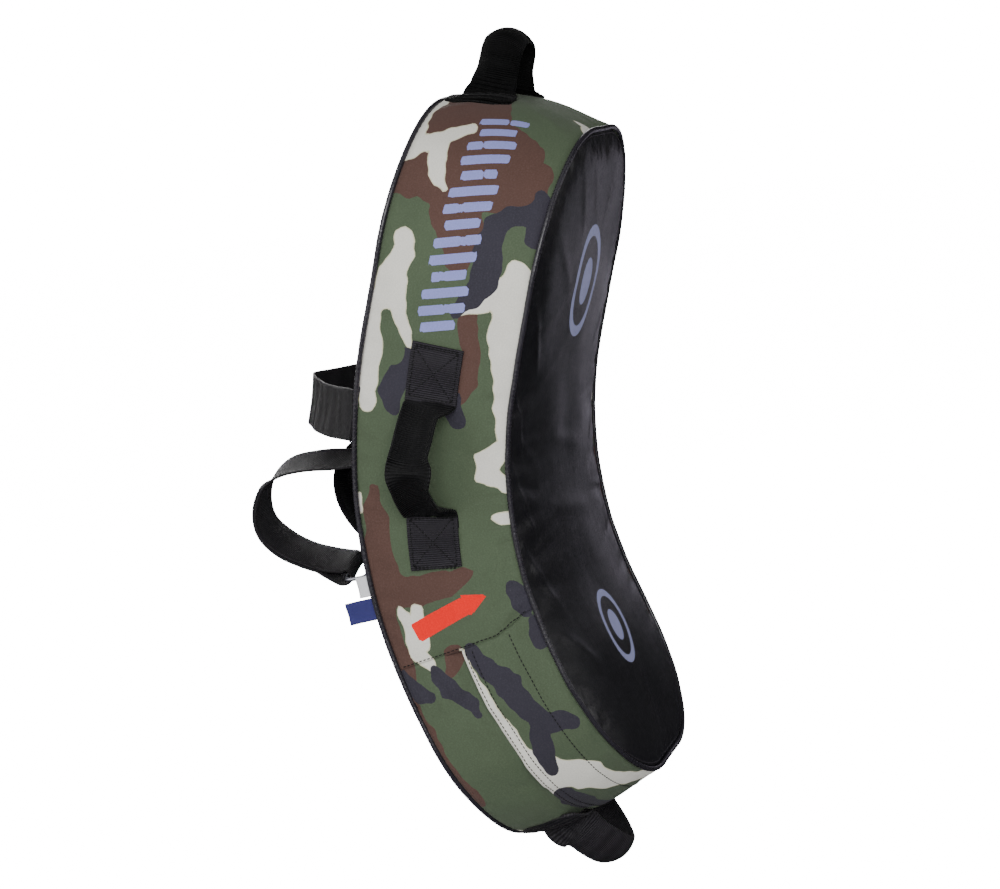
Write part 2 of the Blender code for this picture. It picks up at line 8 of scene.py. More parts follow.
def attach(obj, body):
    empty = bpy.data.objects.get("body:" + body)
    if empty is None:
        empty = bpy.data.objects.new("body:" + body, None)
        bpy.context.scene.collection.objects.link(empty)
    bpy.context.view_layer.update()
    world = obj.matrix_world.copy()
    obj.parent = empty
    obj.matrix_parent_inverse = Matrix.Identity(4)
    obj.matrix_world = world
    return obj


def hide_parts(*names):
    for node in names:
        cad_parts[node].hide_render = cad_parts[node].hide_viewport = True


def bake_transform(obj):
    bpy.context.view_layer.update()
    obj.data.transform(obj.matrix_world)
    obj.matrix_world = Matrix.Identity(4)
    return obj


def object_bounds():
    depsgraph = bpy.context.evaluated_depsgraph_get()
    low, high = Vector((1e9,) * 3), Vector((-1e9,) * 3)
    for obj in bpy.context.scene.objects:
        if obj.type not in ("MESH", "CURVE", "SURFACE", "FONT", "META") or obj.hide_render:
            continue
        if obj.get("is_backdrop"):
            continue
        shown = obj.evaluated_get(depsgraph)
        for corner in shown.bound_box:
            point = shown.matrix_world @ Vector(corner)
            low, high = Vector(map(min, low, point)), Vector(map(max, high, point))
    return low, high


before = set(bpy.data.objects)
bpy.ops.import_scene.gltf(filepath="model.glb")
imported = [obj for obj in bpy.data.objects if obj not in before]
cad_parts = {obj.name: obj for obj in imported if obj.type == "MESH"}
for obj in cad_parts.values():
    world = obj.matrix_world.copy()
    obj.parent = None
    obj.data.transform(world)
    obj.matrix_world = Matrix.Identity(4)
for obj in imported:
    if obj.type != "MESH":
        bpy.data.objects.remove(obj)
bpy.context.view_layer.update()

scene = bpy.context.scene
pi = math.pi

# ----------------------------------------------------------------------------
# Dimensions (the part's own)
# ----------------------------------------------------------------------------
LENGTH, WIDTH, END_R = 0.700, 0.350, 0.140
BEND_FROM, BEND_TO, LEAN_LOW, LEAN_TOP, EASE = -0.260, 0.180, -22.5, 17.5, 0.25
PANEL_N, PIPE_N, PIPE_OFF = 0.0740, 0.0745, -0.0005
HEM_S = -0.150
PLACE_Y, PLACE_Z = -0.0209, -0.0044        # the mid-surface's middle in the part's frame
CX, CS = WIDTH / 2 - END_R, LENGTH / 2 - END_R
ARC = END_R * pi / 2
Q1, Q2 = CS, CS + ARC
Q3, Q4 = Q2 + 2 * CX, Q2 + 2 * CX + ARC
QMAX = Q4 + CS


def profile(steps=2000, reach=0.55):
    s = np.linspace(-reach, reach, steps + 1)
    ds = s[1] - s[0]
    t = (s - BEND_FROM) / (BEND_TO - BEND_FROM)
    k = np.clip(np.minimum(np.minimum(1.0, t / EASE), (1 - t) / EASE), 0, None)
    run = np.concatenate([[0], np.cumsum((k[1:] + k[:-1]) / 2 * ds)])
    lo, up = math.radians(LEAN_LOW), math.radians(LEAN_TOP)
    lean = lo + (up - lo) * run / run[-1]
    sn, cn = np.sin(lean), np.cos(lean)
    y = np.concatenate([[0], -np.cumsum((sn[1:] + sn[:-1]) / 2 * ds)])
    z = np.concatenate([[0], np.cumsum((cn[1:] + cn[:-1]) / 2 * ds)])
    mid = steps // 2
    return s, lean, y - y[mid], z - z[mid]


PS, PL, PY, PZ = profile()


def P(x, s, n):
    """x across, s along the length, n towards the strike face."""
    a = np.interp(s, PS, PL)
    y = PLACE_Y + np.interp(s, PS, PY) - n * np.cos(a)
    z = PLACE_Z + np.interp(s, PS, PZ) - n * np.sin(a)
    return np.stack(np.broadcast_arrays(np.asarray(x, float), y, z), -1)


def frame_at(s):
    a = float(np.interp(s, PS, PL))
    return np.array([0, -math.sin(a), math.cos(a)]), np.array([0, math.cos(a), math.sin(a)])


def back(x, s, h):
    return P(x, s, -(PANEL_N + np.asarray(h, float)))


def plan(q, off=0.0):
    """The outline's (x, s) at the distance q from the left side's middle, grown by off."""
    q = np.asarray(q, float)
    a, sg = np.abs(q), np.where(q >= 0, 1.0, -1.0)
    r = END_R + off
    a1 = np.clip((a - Q1) / END_R, 0, pi / 2)
    a2 = np.clip((a - Q3) / END_R, 0, pi / 2)
    x = np.where(a <= Q2, -(CX + r * np.cos(a1)), np.where(a <= Q3, a - Q2 - CX, CX + r * np.sin(a2)))
    s = np.where(a <= Q1, a, np.where(a <= Q2, CS + r * np.sin(a1), np.where(a <= Q3, CS + r, np.where(a <= Q4, CS + r * np.cos(a2), QMAX - a))))
    return x, s * sg


def smooth(t):
    t = np.clip(t, 0, 1)
    return t * t * (3 - 2 * t)


def field(a, b, scale, seed, k=26):
    """Smooth random field, about -1 to 1, with features about as long as scale."""
    rs = np.random.RandomState(seed)
    v = 0.0
    for _ in range(k):
        th, w, ph = rs.uniform(0, 2 * pi), 2 * pi / scale * rs.uniform(0.55, 1.35), rs.uniform(0, 2 * pi)
        v = v + np.cos(w * (a * math.cos(th) + b * math.sin(th)) + ph)
    return v * math.sqrt(2.0 / k) * 0.6


def unit(v):
    return v / np.maximum(np.linalg.norm(v, axis=-1, keepdims=True), 1e-12)


def spline(knots, per=8):
    """Catmull-Rom through the knots, as an array."""
    k = np.array(knots, float)
    k = np.vstack([2 * k[0] - k[1], k, 2 * k[-1] - k[-2]])
    out = []
    for i in range(1, len(k) - 2):
        a, b, c, d = k[i - 1:i + 3]
        for j in range(per):
            t = j / per
            out.append(0.5 * (2 * b + (c - a) * t + (2 * a - 5 * b + 4 * c - d) * t * t + (3 * b - a - 3 * c + d) * t ** 3))
    out.append(k[-2])
    return np.array(out)


# ----------------------------------------------------------------------------
# Materials
# ----------------------------------------------------------------------------
def srgb(r, g, b):
    return tuple(((c / 255) / 12.92 if c / 255 <= 0.04045 else ((c / 255 + 0.055) / 1.055) ** 2.4) for c in (r, g, b)) + (1.0,)


class Nodes:
    def __init__(self, name):
        self.m = bpy.data.materials.new(name)
        self.m.use_nodes = True
        self.t = self.m.node_tree
        self.t.nodes.clear()
        self.out = self.t.nodes.new("ShaderNodeOutputMaterial")

    def put(self, sock, v):
        if v is None:
            return
        if isinstance(v, bpy.types.NodeSocket):
            self.t.links.new(v, sock)
        else:
            sock.default_value = v

    def add(self, kind, ins=None, **props):
        nd = self.t.nodes.new(kind)
        for k, v in props.items():
            setattr(nd, k, v)
        for k, v in (ins or {}).items():
            self.put(nd.inputs[k], v)
        return nd

    def math(self, op, a, b=None, c=None, clamp=False):
        nd = self.add("ShaderNodeMath", operation=op, use_clamp=clamp)
        for i, v in enumerate((a, b, c)):
            self.put(nd.inputs[i], v)
        return nd.outputs[0]

    def mix(self, f, a, b, mode="MIX"):
        nd = self.add("ShaderNodeMix", data_type="RGBA", blend_type=mode)
        self.put(nd.inputs[0], f)
        self.put(nd.inputs[6], a)
        self.put(nd.inputs[7], b)
        return nd.outputs[2]

    def step(self, x, lo, hi, a=0.0, b=1.0):
        nd = self.add("ShaderNodeMapRange", {"Value": x, "From Min": lo, "From Max": hi, "To Min": a, "To Max": b},
                      interpolation_type="SMOOTHSTEP")
        return nd.outputs[0]

    def attr(self, name):
        return self.add("ShaderNodeAttribute", attribute_name=name).outputs["Fac"]

    def uv(self):
        return self.add("ShaderNodeTexCoord").outputs["UV"]

    def obj(self):
        return self.add("ShaderNodeTexCoord").outputs["Object"]

    def scaled(self, vec, k):
        return self.add("ShaderNodeMapping", {"Vector": vec, "Scale": k if hasattr(k, "__len__") else (k, k, k)}).outputs[0]

    def noise(self, vec, scale, detail=3.0, rough=0.55):
        return self.add("ShaderNodeTexNoise", {"Vector": vec, "Scale": scale, "Detail": detail, "Roughness": rough}).outputs[0]

    def wave(self, vec, scale, direction="X"):
        return self.add("ShaderNodeTexWave", {"Vector": vec, "Scale": scale}, wave_type="BANDS", bands_direction=direction).outputs["Fac"]

    def voronoi(self, vec, scale, feature="F1"):
        return self.add("ShaderNodeTexVoronoi", {"Vector": vec, "Scale": scale}, feature=feature).outputs["Distance"]

    def bump(self, height, strength=0.5, distance=0.001, normal=None):
        nd = self.add("ShaderNodeBump", {"Strength": strength, "Distance": distance, "Height": height})
        if normal is not None:
            self.put(nd.inputs["Normal"], normal)
        return nd.outputs[0]

    def surface(self, colour, rough, normal=None, **extra):
        nd = self.add("ShaderNodeBsdfPrincipled", {"Base Color": colour, "Roughness": rough})
        if normal is not None:
            self.put(nd.inputs["Normal"], normal)
        for k, v in extra.items():
            self.put(nd.inputs[k.replace("_", " ")], v)
        self.t.links.new(nd.outputs[0], self.out.inputs[0])
        return self.m


def weave_bump(g, uv, pitch, base=None, strength=0.35, dist=0.0004):
    w1 = g.wave(g.scaled(uv, (1 / pitch, 0, 0)), 2 * pi / 20.0 * 1.0, "X")
    w2 = g.wave(g.scaled(uv, (0, 1 / pitch, 0)), 2 * pi / 20.0 * 1.0, "Y")
    h = g.math("MAXIMUM", w1, w2)
    return g.bump(h, strength, dist, base)


GREEN, BROWN, CREAM, CHAR = srgb(77, 90, 69), srgb(86, 63, 56), srgb(225, 223, 214), srgb(52, 50, 60)
LILAC, RED = srgb(140, 145, 206), srgb(250, 20, 14)


def camo_material(name, marks=True):
    g = Nodes(name)
    uv = g.uv()
    fine = g.noise(uv, 900.0, 2.0, 0.6)
    jit = g.math("MULTIPLY", g.math("SUBTRACT", fine, 0.5), 0.0008)

    def mask(attribute, lo=-0.00025, hi=0.00025):
        return g.step(g.math("ADD", g.attr(attribute), jit), lo, hi)

    col = g.mix(mask("brown"), GREEN, BROWN)
    cream = mask("cream")
    fringe = g.math("MULTIPLY", cream, g.step(g.attr("cream"), 0.0004, 0.0014, 1.0, 0.0))
    pale = g.mix(g.math("MULTIPLY", fringe, 0.55), CREAM, srgb(196, 190, 130))
    col = g.mix(cream, col, pale)
    col = g.mix(mask("charcoal"), col, CHAR)
    if marks:
        col = g.mix(mask("bars", -0.0002, 0.0002), col, LILAC)
        col = g.mix(mask("pennant", -0.0002, 0.0002), col, RED)
    broad = g.noise(uv, 14.0, 4.0, 0.6)
    col = g.mix(g.step(broad, 0.25, 0.75, 0.10, 0.0), col, (0, 0, 0, 1))
    grain = g.noise(g.scaled(uv, (1.0, 1.0, 1.0)), 620.0, 3.0, 0.7)
    col = g.mix(g.step(grain, 0.35, 0.7, 0.20, 0.0), col, g.mix(0.55, col, (0, 0, 0, 1)))
    soft = g.mix(g.step(grain, 0.5, 0.8, 0.0, 0.012), col, (1, 1, 1, 1))
    n = weave_bump(g, uv, 0.0009, None, 0.30, 0.0003)
    n = g.bump(g.noise(uv, 160.0, 4.0, 0.6), 0.18, 0.0008, n)
    return g.surface(soft, g.step(grain, 0.2, 0.8, 0.82, 0.66), n, Sheen_Weight=0.06, Sheen_Roughness=0.5,
                     Specular_IOR_Level=0.18)


def leather_material(name, tone, mark=False, rough=0.36, crease=0.5):
    g = Nodes(name)
    uv = g.uv()
    grain = g.voronoi(uv, 720.0)
    fine = g.noise(uv, 420.0, 4.0, 0.6)
    broad = g.noise(uv, 9.0, 4.0, 0.55)
    col = g.mix(g.step(broad, 0.3, 0.75), tone, tuple(c * 1.35 for c in tone[:3]) + (1,))
    r = g.math("ADD", g.step(broad, 0.25, 0.75, rough - 0.05, rough + 0.08), g.step(fine, 0.3, 0.7, -0.03, 0.05))
    if mark:
        m = g.step(g.math("ADD", g.attr("mark"), g.math("MULTIPLY", g.math("SUBTRACT", fine, 0.5), 0.0006)), -0.0002, 0.0002)
        worn = g.math("MULTIPLY", m, g.step(fine, 0.25, 0.42, 0.75, 1.0))
        col = g.mix(worn, col, srgb(150, 154, 196))
        r = g.math("ADD", r, g.math("MULTIPLY", m, 0.16))
    n = g.bump(grain, 0.30, 0.0004)
    n = g.bump(fine, 0.25, 0.0004, n)
    n = g.bump(g.noise(g.scaled(uv, (1.0, 0.35, 1.0)), 46.0, 5.0, 0.62), crease, 0.0012, n)
    return g.surface(col, r, n, Specular_IOR_Level=0.5, Coat_Weight=0.10, Coat_Roughness=0.28)


def fabric_material(name, tone, pitch=0.0012, rough=0.75, sheen=0.3):
    g = Nodes(name)
    uv = g.uv()
    grain = g.noise(uv, 500.0, 3.0, 0.65)
    broad = g.noise(uv, 16.0, 3.0, 0.5)
    col = g.mix(g.step(grain, 0.3, 0.7), tuple(c * 0.7 for c in tone[:3]) + (1,), tuple(c * 1.4 for c in tone[:3]) + (1,))
    col = g.mix(g.step(broad, 0.3, 0.8, 0.0, 0.25), col, tuple(c * 1.8 for c in tone[:3]) + (1,))
    n = weave_bump(g, uv, pitch, None, 0.45, 0.0004)
    n = g.bump(g.noise(uv, 140.0, 4.0, 0.6), 0.2, 0.0008, n)
    return g.surface(col, g.step(grain, 0.2, 0.8, rough + 0.06, rough - 0.08), n, Sheen_Weight=sheen, Sheen_Roughness=0.45)


def webbing_material(name, tone, rough=0.62, pitch=0.0020, cross=0.0011, spec=0.30, dusty=0.06):
    """Nylon webbing: ribs across the strap (UV y runs along it) crossed by warp cords."""
    g = Nodes(name)
    uv = g.uv()
    rib = g.wave(g.scaled(uv, (0, 1 / pitch, 0)), 2 * pi / 20.0, "Y")
    cord = g.wave(g.scaled(uv, (1 / cross, 0, 0)), 2 * pi / 20.0, "X")
    fine = g.noise(uv, 1400.0, 2.0, 0.7)
    dust = g.noise(uv, 60.0, 4.0, 0.6)
    h = g.math("ADD", g.math("MULTIPLY", rib, 0.7), g.math("MULTIPLY", cord, 0.4))
    lift = g.math("MULTIPLY", g.math("ADD", h, fine), 0.5)
    # the colour is painted darker in the grooves between ribs and cords and lighter on their crests: painted shade and
    # painted highlight that follow the relief
    col = g.mix(g.step(lift, 0.35, 0.95), tuple(c * 0.32 for c in tone[:3]) + (1,), tuple(c * 1.85 for c in tone[:3]) + (1,))
    col = g.mix(g.step(dust, 0.45, 0.8, 0.0, dusty), col, srgb(84, 82, 90))
    n = g.bump(h, 0.85, 0.00055)
    n = g.bump(fine, 0.3, 0.0003, n)
    return g.surface(col, g.step(fine, 0.2, 0.8, rough + 0.08, rough - 0.08), n, Sheen_Weight=0.03, Sheen_Roughness=0.4,
                     Specular_IOR_Level=spec)


def foam_material(name, tone):
    g = Nodes(name)
    p = g.obj()
    cells = g.voronoi(p, 520.0)
    col = g.mix(g.step(cells, 0.1, 0.6), tuple(c * 0.75 for c in tone[:3]) + (1,), tone)
    return g.surface(col, 0.92, g.bump(cells, 0.6, 0.0008))


def metal_material(name):
    g = Nodes(name)
    p = g.obj()
    scratch = g.noise(g.scaled(p, (60.0, 600.0, 600.0)), 1.0, 4.0, 0.6)
    spots = g.noise(p, 260.0, 3.0, 0.6)
    col = g.mix(g.step(spots, 0.35, 0.7), srgb(168, 168, 178), srgb(206, 206, 214))
    return g.surface(col, g.step(scratch, 0.2, 0.8, 0.22, 0.42), g.bump(scratch, 0.12, 0.0003), Metallic=1.0)


def hook_material(name, tone, scale):
    g = Nodes(name)
    p = g.obj()
    dots = g.voronoi(p, scale)
    col = g.mix(g.step(dots, 0.1, 0.5), tuple(c * 2.0 for c in tone[:3]) + (1,), tone)
    return g.surface(col, 0.95, g.bump(dots, 1.0, 0.001), Sheen_Weight=0.4)


def thread_material(name, tone):
    g = Nodes(name)
    p = g.obj()
    twist = g.noise(p, 1800.0, 2.0, 0.5)
    col = g.mix(g.step(twist, 0.3, 0.7), tuple(c * 0.6 for c in tone[:3]) + (1,), tuple(c * 1.4 for c in tone[:3]) + (1,))
    return g.surface(col, 0.55, g.bump(twist, 0.5, 0.0002), Sheen_Weight=0.03, Specular_IOR_Level=0.2)


def tag_material(name, tone, line):
    g = Nodes(name)
    uv = g.uv()
    n = weave_bump(g, uv, 0.0006, None, 0.5, 0.0003)
    grain = g.noise(uv, 900.0, 2.0, 0.6)
    col = g.mix(g.step(grain, 0.3, 0.7, 0.0, 0.25), tone, tuple(c * 0.6 for c in tone[:3]) + (1,))
    edge = g.attr("hem")
    col = g.mix(g.step(edge, 0.0005, 0.0009, 0.35, 0.0), col, line)
    return g.surface(col, 0.6, n, Sheen_Weight=0.3)


M = {
    "camo": camo_material("camo_canvas"),
    "strike": leather_material("black_leatherette", srgb(20, 19, 23), mark=True),
    # the piping is the strike face's leatherette in a lighter tone (34 against 20): a painted highlight along the cord
    "piping": leather_material("piping_leatherette_painted_highlight", srgb(34, 32, 38), rough=0.26, crease=0.2),
    "back": fabric_material("back_fabric", srgb(22, 22, 24), 0.0014, sheen=0.12),
    "web": webbing_material("ribbed_webbing", srgb(36, 33, 40)),
    "strap": webbing_material("strap_webbing", srgb(26, 24, 28), pitch=0.0016),
    "grip": webbing_material("grip_webbing", srgb(13, 13, 15), rough=0.5, spec=0.16, dusty=0.03),
    # one handle webbing in two tones: the top handle's copy is darkened (painted shade), the bottom handle's lighter
    # copy with more specular is painted light
    "end": webbing_material("end_webbing", srgb(7, 7, 8), rough=0.55, spec=0.07, dusty=0.015),
    "end_painted_light": webbing_material("end_webbing_painted_light", srgb(38, 35, 41), rough=0.50, spec=0.40),
    "thread": thread_material("black_thread", srgb(13, 13, 15)),
    "thread_light": thread_material("seam_thread", srgb(58, 56, 62)),
    "metal": metal_material("ring_steel"),
    "foam": foam_material("foam_core", srgb(188, 190, 194)),
    "foam2": foam_material("foam_strike", srgb(92, 92, 96)),
    "foam3": foam_material("foam_back", srgb(128, 130, 136)),
    "hook": hook_material("hook_tape", srgb(26, 26, 28), 700.0),
    "loop": hook_material("loop_tape", srgb(32, 32, 35), 420.0),
    "white": tag_material("white_label", srgb(226, 226, 230), srgb(150, 150, 156)),
    "blue": tag_material("blue_label", srgb(20, 22, 104), srgb(10, 12, 60)),
}


# ----------------------------------------------------------------------------
# Mesh building
# ----------------------------------------------------------------------------
def make(name, verts, faces, mat, uv=None, attrs=None, body=None, nodes=(), flat=False):
    me = bpy.data.meshes.new(name)
    me.from_pydata(np.asarray(verts, float).tolist(), [], faces if isinstance(faces, list) else faces.tolist())
    me.update()
    if uv is not None:
        li = np.zeros(len(me.loops), np.int32)
        me.loops.foreach_get("vertex_index", li)
        lay = me.uv_layers.new(name="UVMap")
        lay.data.foreach_set("uv", np.asarray(uv, np.float32)[li].ravel())
    for k, v in (attrs or {}).items():
        at = me.attributes.new(k, "FLOAT", "POINT")
        at.data.foreach_set("value", np.asarray(v, np.float32).ravel())
    me.materials.append(mat)
    if not flat:
        me.shade_smooth()
    ob = bpy.data.objects.new(name, me)
    scene.collection.objects.link(ob)
    if body:
        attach(ob, body)
    if nodes:
        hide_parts(*nodes)
    return ob


def grid_faces(idx, wrap=False, flip=False):
    a = idx
    if wrap:
        a = np.vstack([idx, idx[:1]])
    f = np.stack([a[:-1, :-1], a[1:, :-1], a[1:, 1:], a[:-1, 1:]], -1).reshape(-1, 4)
    return f[:, ::-1] if flip else f


def strip(e0, e1):
    return np.stack([e0[:-1], e0[1:], e1[1:], e1[:-1]], -1)


def grid_normals(pos, wrap):
    if wrap:
        di = np.roll(pos, -1, 0) - np.roll(pos, 1, 0)
    else:
        di = np.gradient(pos, axis=0)
    dj = np.gradient(pos, axis=1)
    return unit(np.cross(di, dj))


def shell_faces(idx_o, idx_i, wrap):
    """Closed shell between an outer grid and an inner one."""
    f = [grid_faces(idx_o, wrap), grid_faces(idx_i, wrap, flip=True)]
    a, b = idx_o, idx_i
    if wrap:
        a, b = np.vstack([a, a[:1]]), np.vstack([b, b[:1]])
    f.append(strip(b[:, 0], a[:, 0]))
    f.append(strip(a[:, -1], b[:, -1]))
    if not wrap:
        f.append(strip(a[0], b[0]))
        f.append(strip(b[-1], a[-1]))
    return np.vstack(f)


def clean(faces):
    """Drops repeated corners, so that a merged quad becomes a triangle."""
    out = []
    for f in faces.tolist():
        g = [v for k, v in enumerate(f) if v != f[k - 1]]
        if len(g) >= 3 and len(set(g)) == len(g):
            out.append(g)
    return out


def cubic(grid, factor, axis, wrap=False):
    """Resamples a grid along one axis with a Catmull-Rom curve."""
    g = np.moveaxis(np.asarray(grid, float), axis, 0)
    n = len(g)
    if wrap:
        ext = np.concatenate([g[-1:], g, g[:2]])
        t = np.arange(n * factor) / factor
    else:
        ext = np.concatenate([2 * g[:1] - g[1:2], g, 2 * g[-1:] - g[-2:-1], 2 * g[-1:] - g[-2:-1]])
        t = np.arange((n - 1) * factor + 1) / factor
    i = np.floor(t).astype(int)
    f = (t - i).reshape((-1,) + (1,) * (g.ndim - 1))
    a, b, c, d = ext[i], ext[i + 1], ext[i + 2], ext[i + 3]
    r = 0.5 * (2 * b + (c - a) * f + (2 * a - 5 * b + 4 * c - d) * f ** 2 + (3 * b - a - 3 * c + d) * f ** 3)
    return np.moveaxis(r, 0, axis)


def refine(arrs, fi, fj, wrap=False):
    return [cubic(cubic(a, fi, 0, wrap), fj, 1) for a in arrs]


def simulate(name, pos, idx, faces, pin, frames=20, pressure=4.0, grow=0.012, stiff=18.0, bend=0.6, cap=0.006):
    """Settles a sheet as cloth held at its seams, and returns the settled grid."""
    count = int(idx.max()) + 1
    co = np.zeros((count, 3))
    co[idx.ravel()] = pos.reshape(-1, 3)
    me = bpy.data.meshes.new(name + "_cloth")
    me.from_pydata(co.tolist(), [], faces)
    me.update()
    ob = bpy.data.objects.new(name + "_cloth", me)
    scene.collection.objects.link(ob)
    vg = ob.vertex_groups.new(name="pin")
    w = np.zeros(count)
    w[idx.ravel()] = pin.ravel()
    for lvl in np.unique(np.round(w, 3)):
        if lvl > 0:
            vg.add(np.nonzero(np.round(w, 3) == lvl)[0].tolist(), float(lvl), "REPLACE")
    md = ob.modifiers.new("cloth", "CLOTH")
    st = md.settings
    st.quality = 5
    st.mass = 0.25
    st.tension_stiffness = st.compression_stiffness = stiff
    st.shear_stiffness = stiff * 0.4
    st.bending_stiffness = bend
    st.vertex_group_mass = "pin"
    st.use_pressure = True
    st.uniform_pressure_force = pressure
    st.shrink_min = -grow
    st.effector_weights.gravity = 0
    md.collision_settings.use_collision = False
    md.collision_settings.use_self_collision = False
    md.point_cache.frame_start, md.point_cache.frame_end = 1, frames
    for f in range(1, frames + 1):
        scene.frame_set(f)
    dg = bpy.context.evaluated_depsgraph_get()
    ev = ob.evaluated_get(dg)
    got = np.zeros(count * 3, np.float32)
    ev.data.vertices.foreach_get("co", got)
    got = got.reshape(-1, 3).astype(float)
    d = got - co
    m = np.linalg.norm(d, axis=1, keepdims=True)
    d *= cap * np.tanh(m / cap) / np.maximum(m, 1e-9)
    scene.frame_set(1)
    bpy.data.objects.remove(ob)
    bpy.data.meshes.remove(me)
    print("cloth", name, "moved up to %.1f mm, mean %.1f mm" % (m.max() * 1000, m.mean() * 1000))
    return (co + d)[idx]


# ----------------------------------------------------------------------------
# Camouflage print, in (q, n) millimetres, as strokes of varying width
# ----------------------------------------------------------------------------
CAMO = {
    "brown": [
        [(300, -64, 34), (350, -56, 34), (386, -50, 30), (430, -46, 24)],
        [(300, -26, 35), (345, -20, 36), (372, -25, 30), (410, -24, 20)],
        [(305, 20, 36), (330, 20, 31)],
        [(302, 48, 22), (314, 54, 16)],
        [(262, -8, 26), (236, 2, 18), (224, 4, 15)],
        [(168, 22, 10), (142, 31, 9), (113, 31, 9), (95, 28, 6)],
        [(6, -54, 5), (-14, -57, 10), (-40, -58, 14), (-72, -56, 16)],
        [(-80, -62, 14), (-86, -30, 14), (-86, 0, 12), (-80, 20, 8)],
        [(-98, -70, 12), (-122, -72, 14), (-150, -70, 14)],
        [(-372, 76, 4), (-392, 72, 9), (-412, 66, 12), (-432, 58, 14)],
        [(-172, -76, 9), (-209, -74, 9), (-250, -74, 10), (-292, -70, 9)],
        [(-150, -16, 9), (-164, -24, 6)],
    ],
    "cream": [
        [(314, -70, 9), (326, -55, 9), (339, -38, 8), (347, -20, 6)],
        [(328, -45, 9), (308, -41, 9), (293, -35, 8), (282, -25, 3)],
        [(418, -66, 8), (375, -70, 7), (345, -69, 7), (318, -69, 8)],
        [(536, -30, 5), (530, -24, 5)],
        [(432, 60, 5), (424, 70, 7), (408, 74, 6)],
        [(233, -51, 8), (215, -50, 11), (196, -56, 14), (172, -60, 13), (150, -66, 12), (122, -68, 12), (97, -63, 11), (78, -60, 8)],
        [(190, -50, 10), (168, -45, 8), (148, -34, 5), (136, -32, 3)],
        [(220, 62, 11), (206, 60, 15), (186, 58, 17), (166, 60, 16), (140, 64, 14), (116, 70, 13), (89, 71, 11), (57, 73, 9)],
        [(200, 48, 12), (184, 32, 9), (175, 16, 4)],
        [(44, 66, 9), (32, 56, 12), (20, 54, 11), (12, 66, 9), (2, 74, 7)],
        [(-29, 60, 5), (-31, 74, 7)],
        [(-100, -52, 5), (-112, -46, 7), (-128, -46, 9), (-142, -48, 9), (-150, -42, 7)],
        [(-102, -33, 6), (-118, -36, 9), (-132, -38, 10)],
        [(-150, -9, 3), (-178, -6, 5), (-215, -4, 7), (-250, -3, 10), (-285, -1, 13), (-322, -4, 14)],
        [(-286, 4, 11), (-306, 16, 13), (-326, 28, 14)],
        [(-270, 10, 6), (-300, 24, 12), (-318, 38, 15), (-345, 44, 14), (-375, 62, 12), (-400, 70, 9)],
        [(-372, -70, 7), (-384, -56, 6)],
        [(1, -73, 5), (-8, -71, 5)],
    ],
    "charcoal": [
        [(126, -31, 8), (108, -33, 12), (92, -38, 12), (80, -37, 9)],
        [(292, 64, 8), (276, 66, 12), (256, 70, 10)],
        [(276, 60, 8), (268, 40, 9), (258, 28, 10), (241, 28, 12), (224, 34, 12), (208, 31, 11), (190, 22, 10), (176, 10, 7)],
        [(90, 19, 10), (74, 25, 9)],
        [(-106, 62, 9), (-118, 66, 11), (-130, 68, 8)],
        [(-146, 74, 7), (-160, 70, 8), (-172, 68, 7)],
        [(-160, -70, 8), (-172, -62, 9), (-178, -52, 6)],
        [(-160, -40, 7), (-178, -30, 9), (-196, -22, 8), (-210, -16, 4)],
        [(-154, 2, 9), (-172, 12, 11), (-198, 22, 13), (-222, 27, 13), (-243, 34, 11), (-250, 50, 10), (-258, 58, 8)],
        [(-248, 26, 9), (-272, 18, 9), (-290, 14, 7)],
        [(-330, 2, 10), (-352, 4, 13), (-382, 6, 12), (-400, 12, 9)],
        [(88, -75, 5), (78, -76, 5)],
    ],
    "green": [
        [(246, 50, 5), (236, 56, 5)],
        [(157, -54, 6), (140, -47, 8), (124, -42, 9)],
    ],
}
# the side that faces away from the near one carries the same cloth, cut further along
FAR = 2 * (Q2 + CX)


def strokes(q, n, lines, grow=0.0):
    """Signed distance in metres (positive inside) to a union of tapered strokes."""
    best = np.full(np.shape(q), -1.0)
    for line in lines:
        pts = np.array(line, float) / 1000
        for (qa, na, ra), (qb, nb, rb) in zip(pts[:-1], pts[1:]):
            lq, ln_ = qb - qa, nb - na
            t = np.clip(((q - qa) * lq + (n - na) * ln_) / (lq * lq + ln_ * ln_), 0, 1)
            d = (ra + (rb - ra) * t) + grow - np.hypot(q - qa - t * lq, n - na - t * ln_)
            k = 0.003
            h = np.clip(0.5 + 0.5 * (d - best) / k, 0, 1)
            best = best * (1 - h) + d * h + k * h * (1 - h)
    return best


BARS_Q0, BARS_Q1 = 0.150, 0.372


def bars(q, n):
    """A ladder of plain slanted bars, every other one with a stencil gap."""
    best = np.full(np.shape(q), -1.0)
    count = 14
    pitch = (BARS_Q1 - BARS_Q0) / count
    for k in range(count):
        qc = BARS_Q0 + pitch * (k + 0.5)
        drift = -0.004 + 0.010 * k / count
        u = (q - qc) - 0.30 * (n - drift)
        v = n - drift
        d = np.minimum(0.0046 - np.abs(u), (0.0215 if k % 3 else 0.0160) - np.abs(v))
        if k % 2:
            d = np.minimum(d, np.abs(v - (0.005 if k % 4 == 1 else -0.006)) - 0.0010)
        best = np.maximum(best, d)
    return best


def pennant(q, n):
    """A plain red pennant: a band with a blunt tip."""
    a = math.atan2(0.018, 0.080)
    cq, cn = -0.1225, -0.043
    u = (n - cn) * math.cos(a) + (q - cq) * math.sin(a)
    v = -(n - cn) * math.sin(a) + (q - cq) * math.cos(a)
    body = np.minimum(np.minimum(u, 0.060 - u), 0.0088 - np.abs(v))
    tip = np.minimum(u - 0.058, (0.0820 - u) * 0.42 - np.abs(v) * 0.9)
    return np.maximum(body, tip)


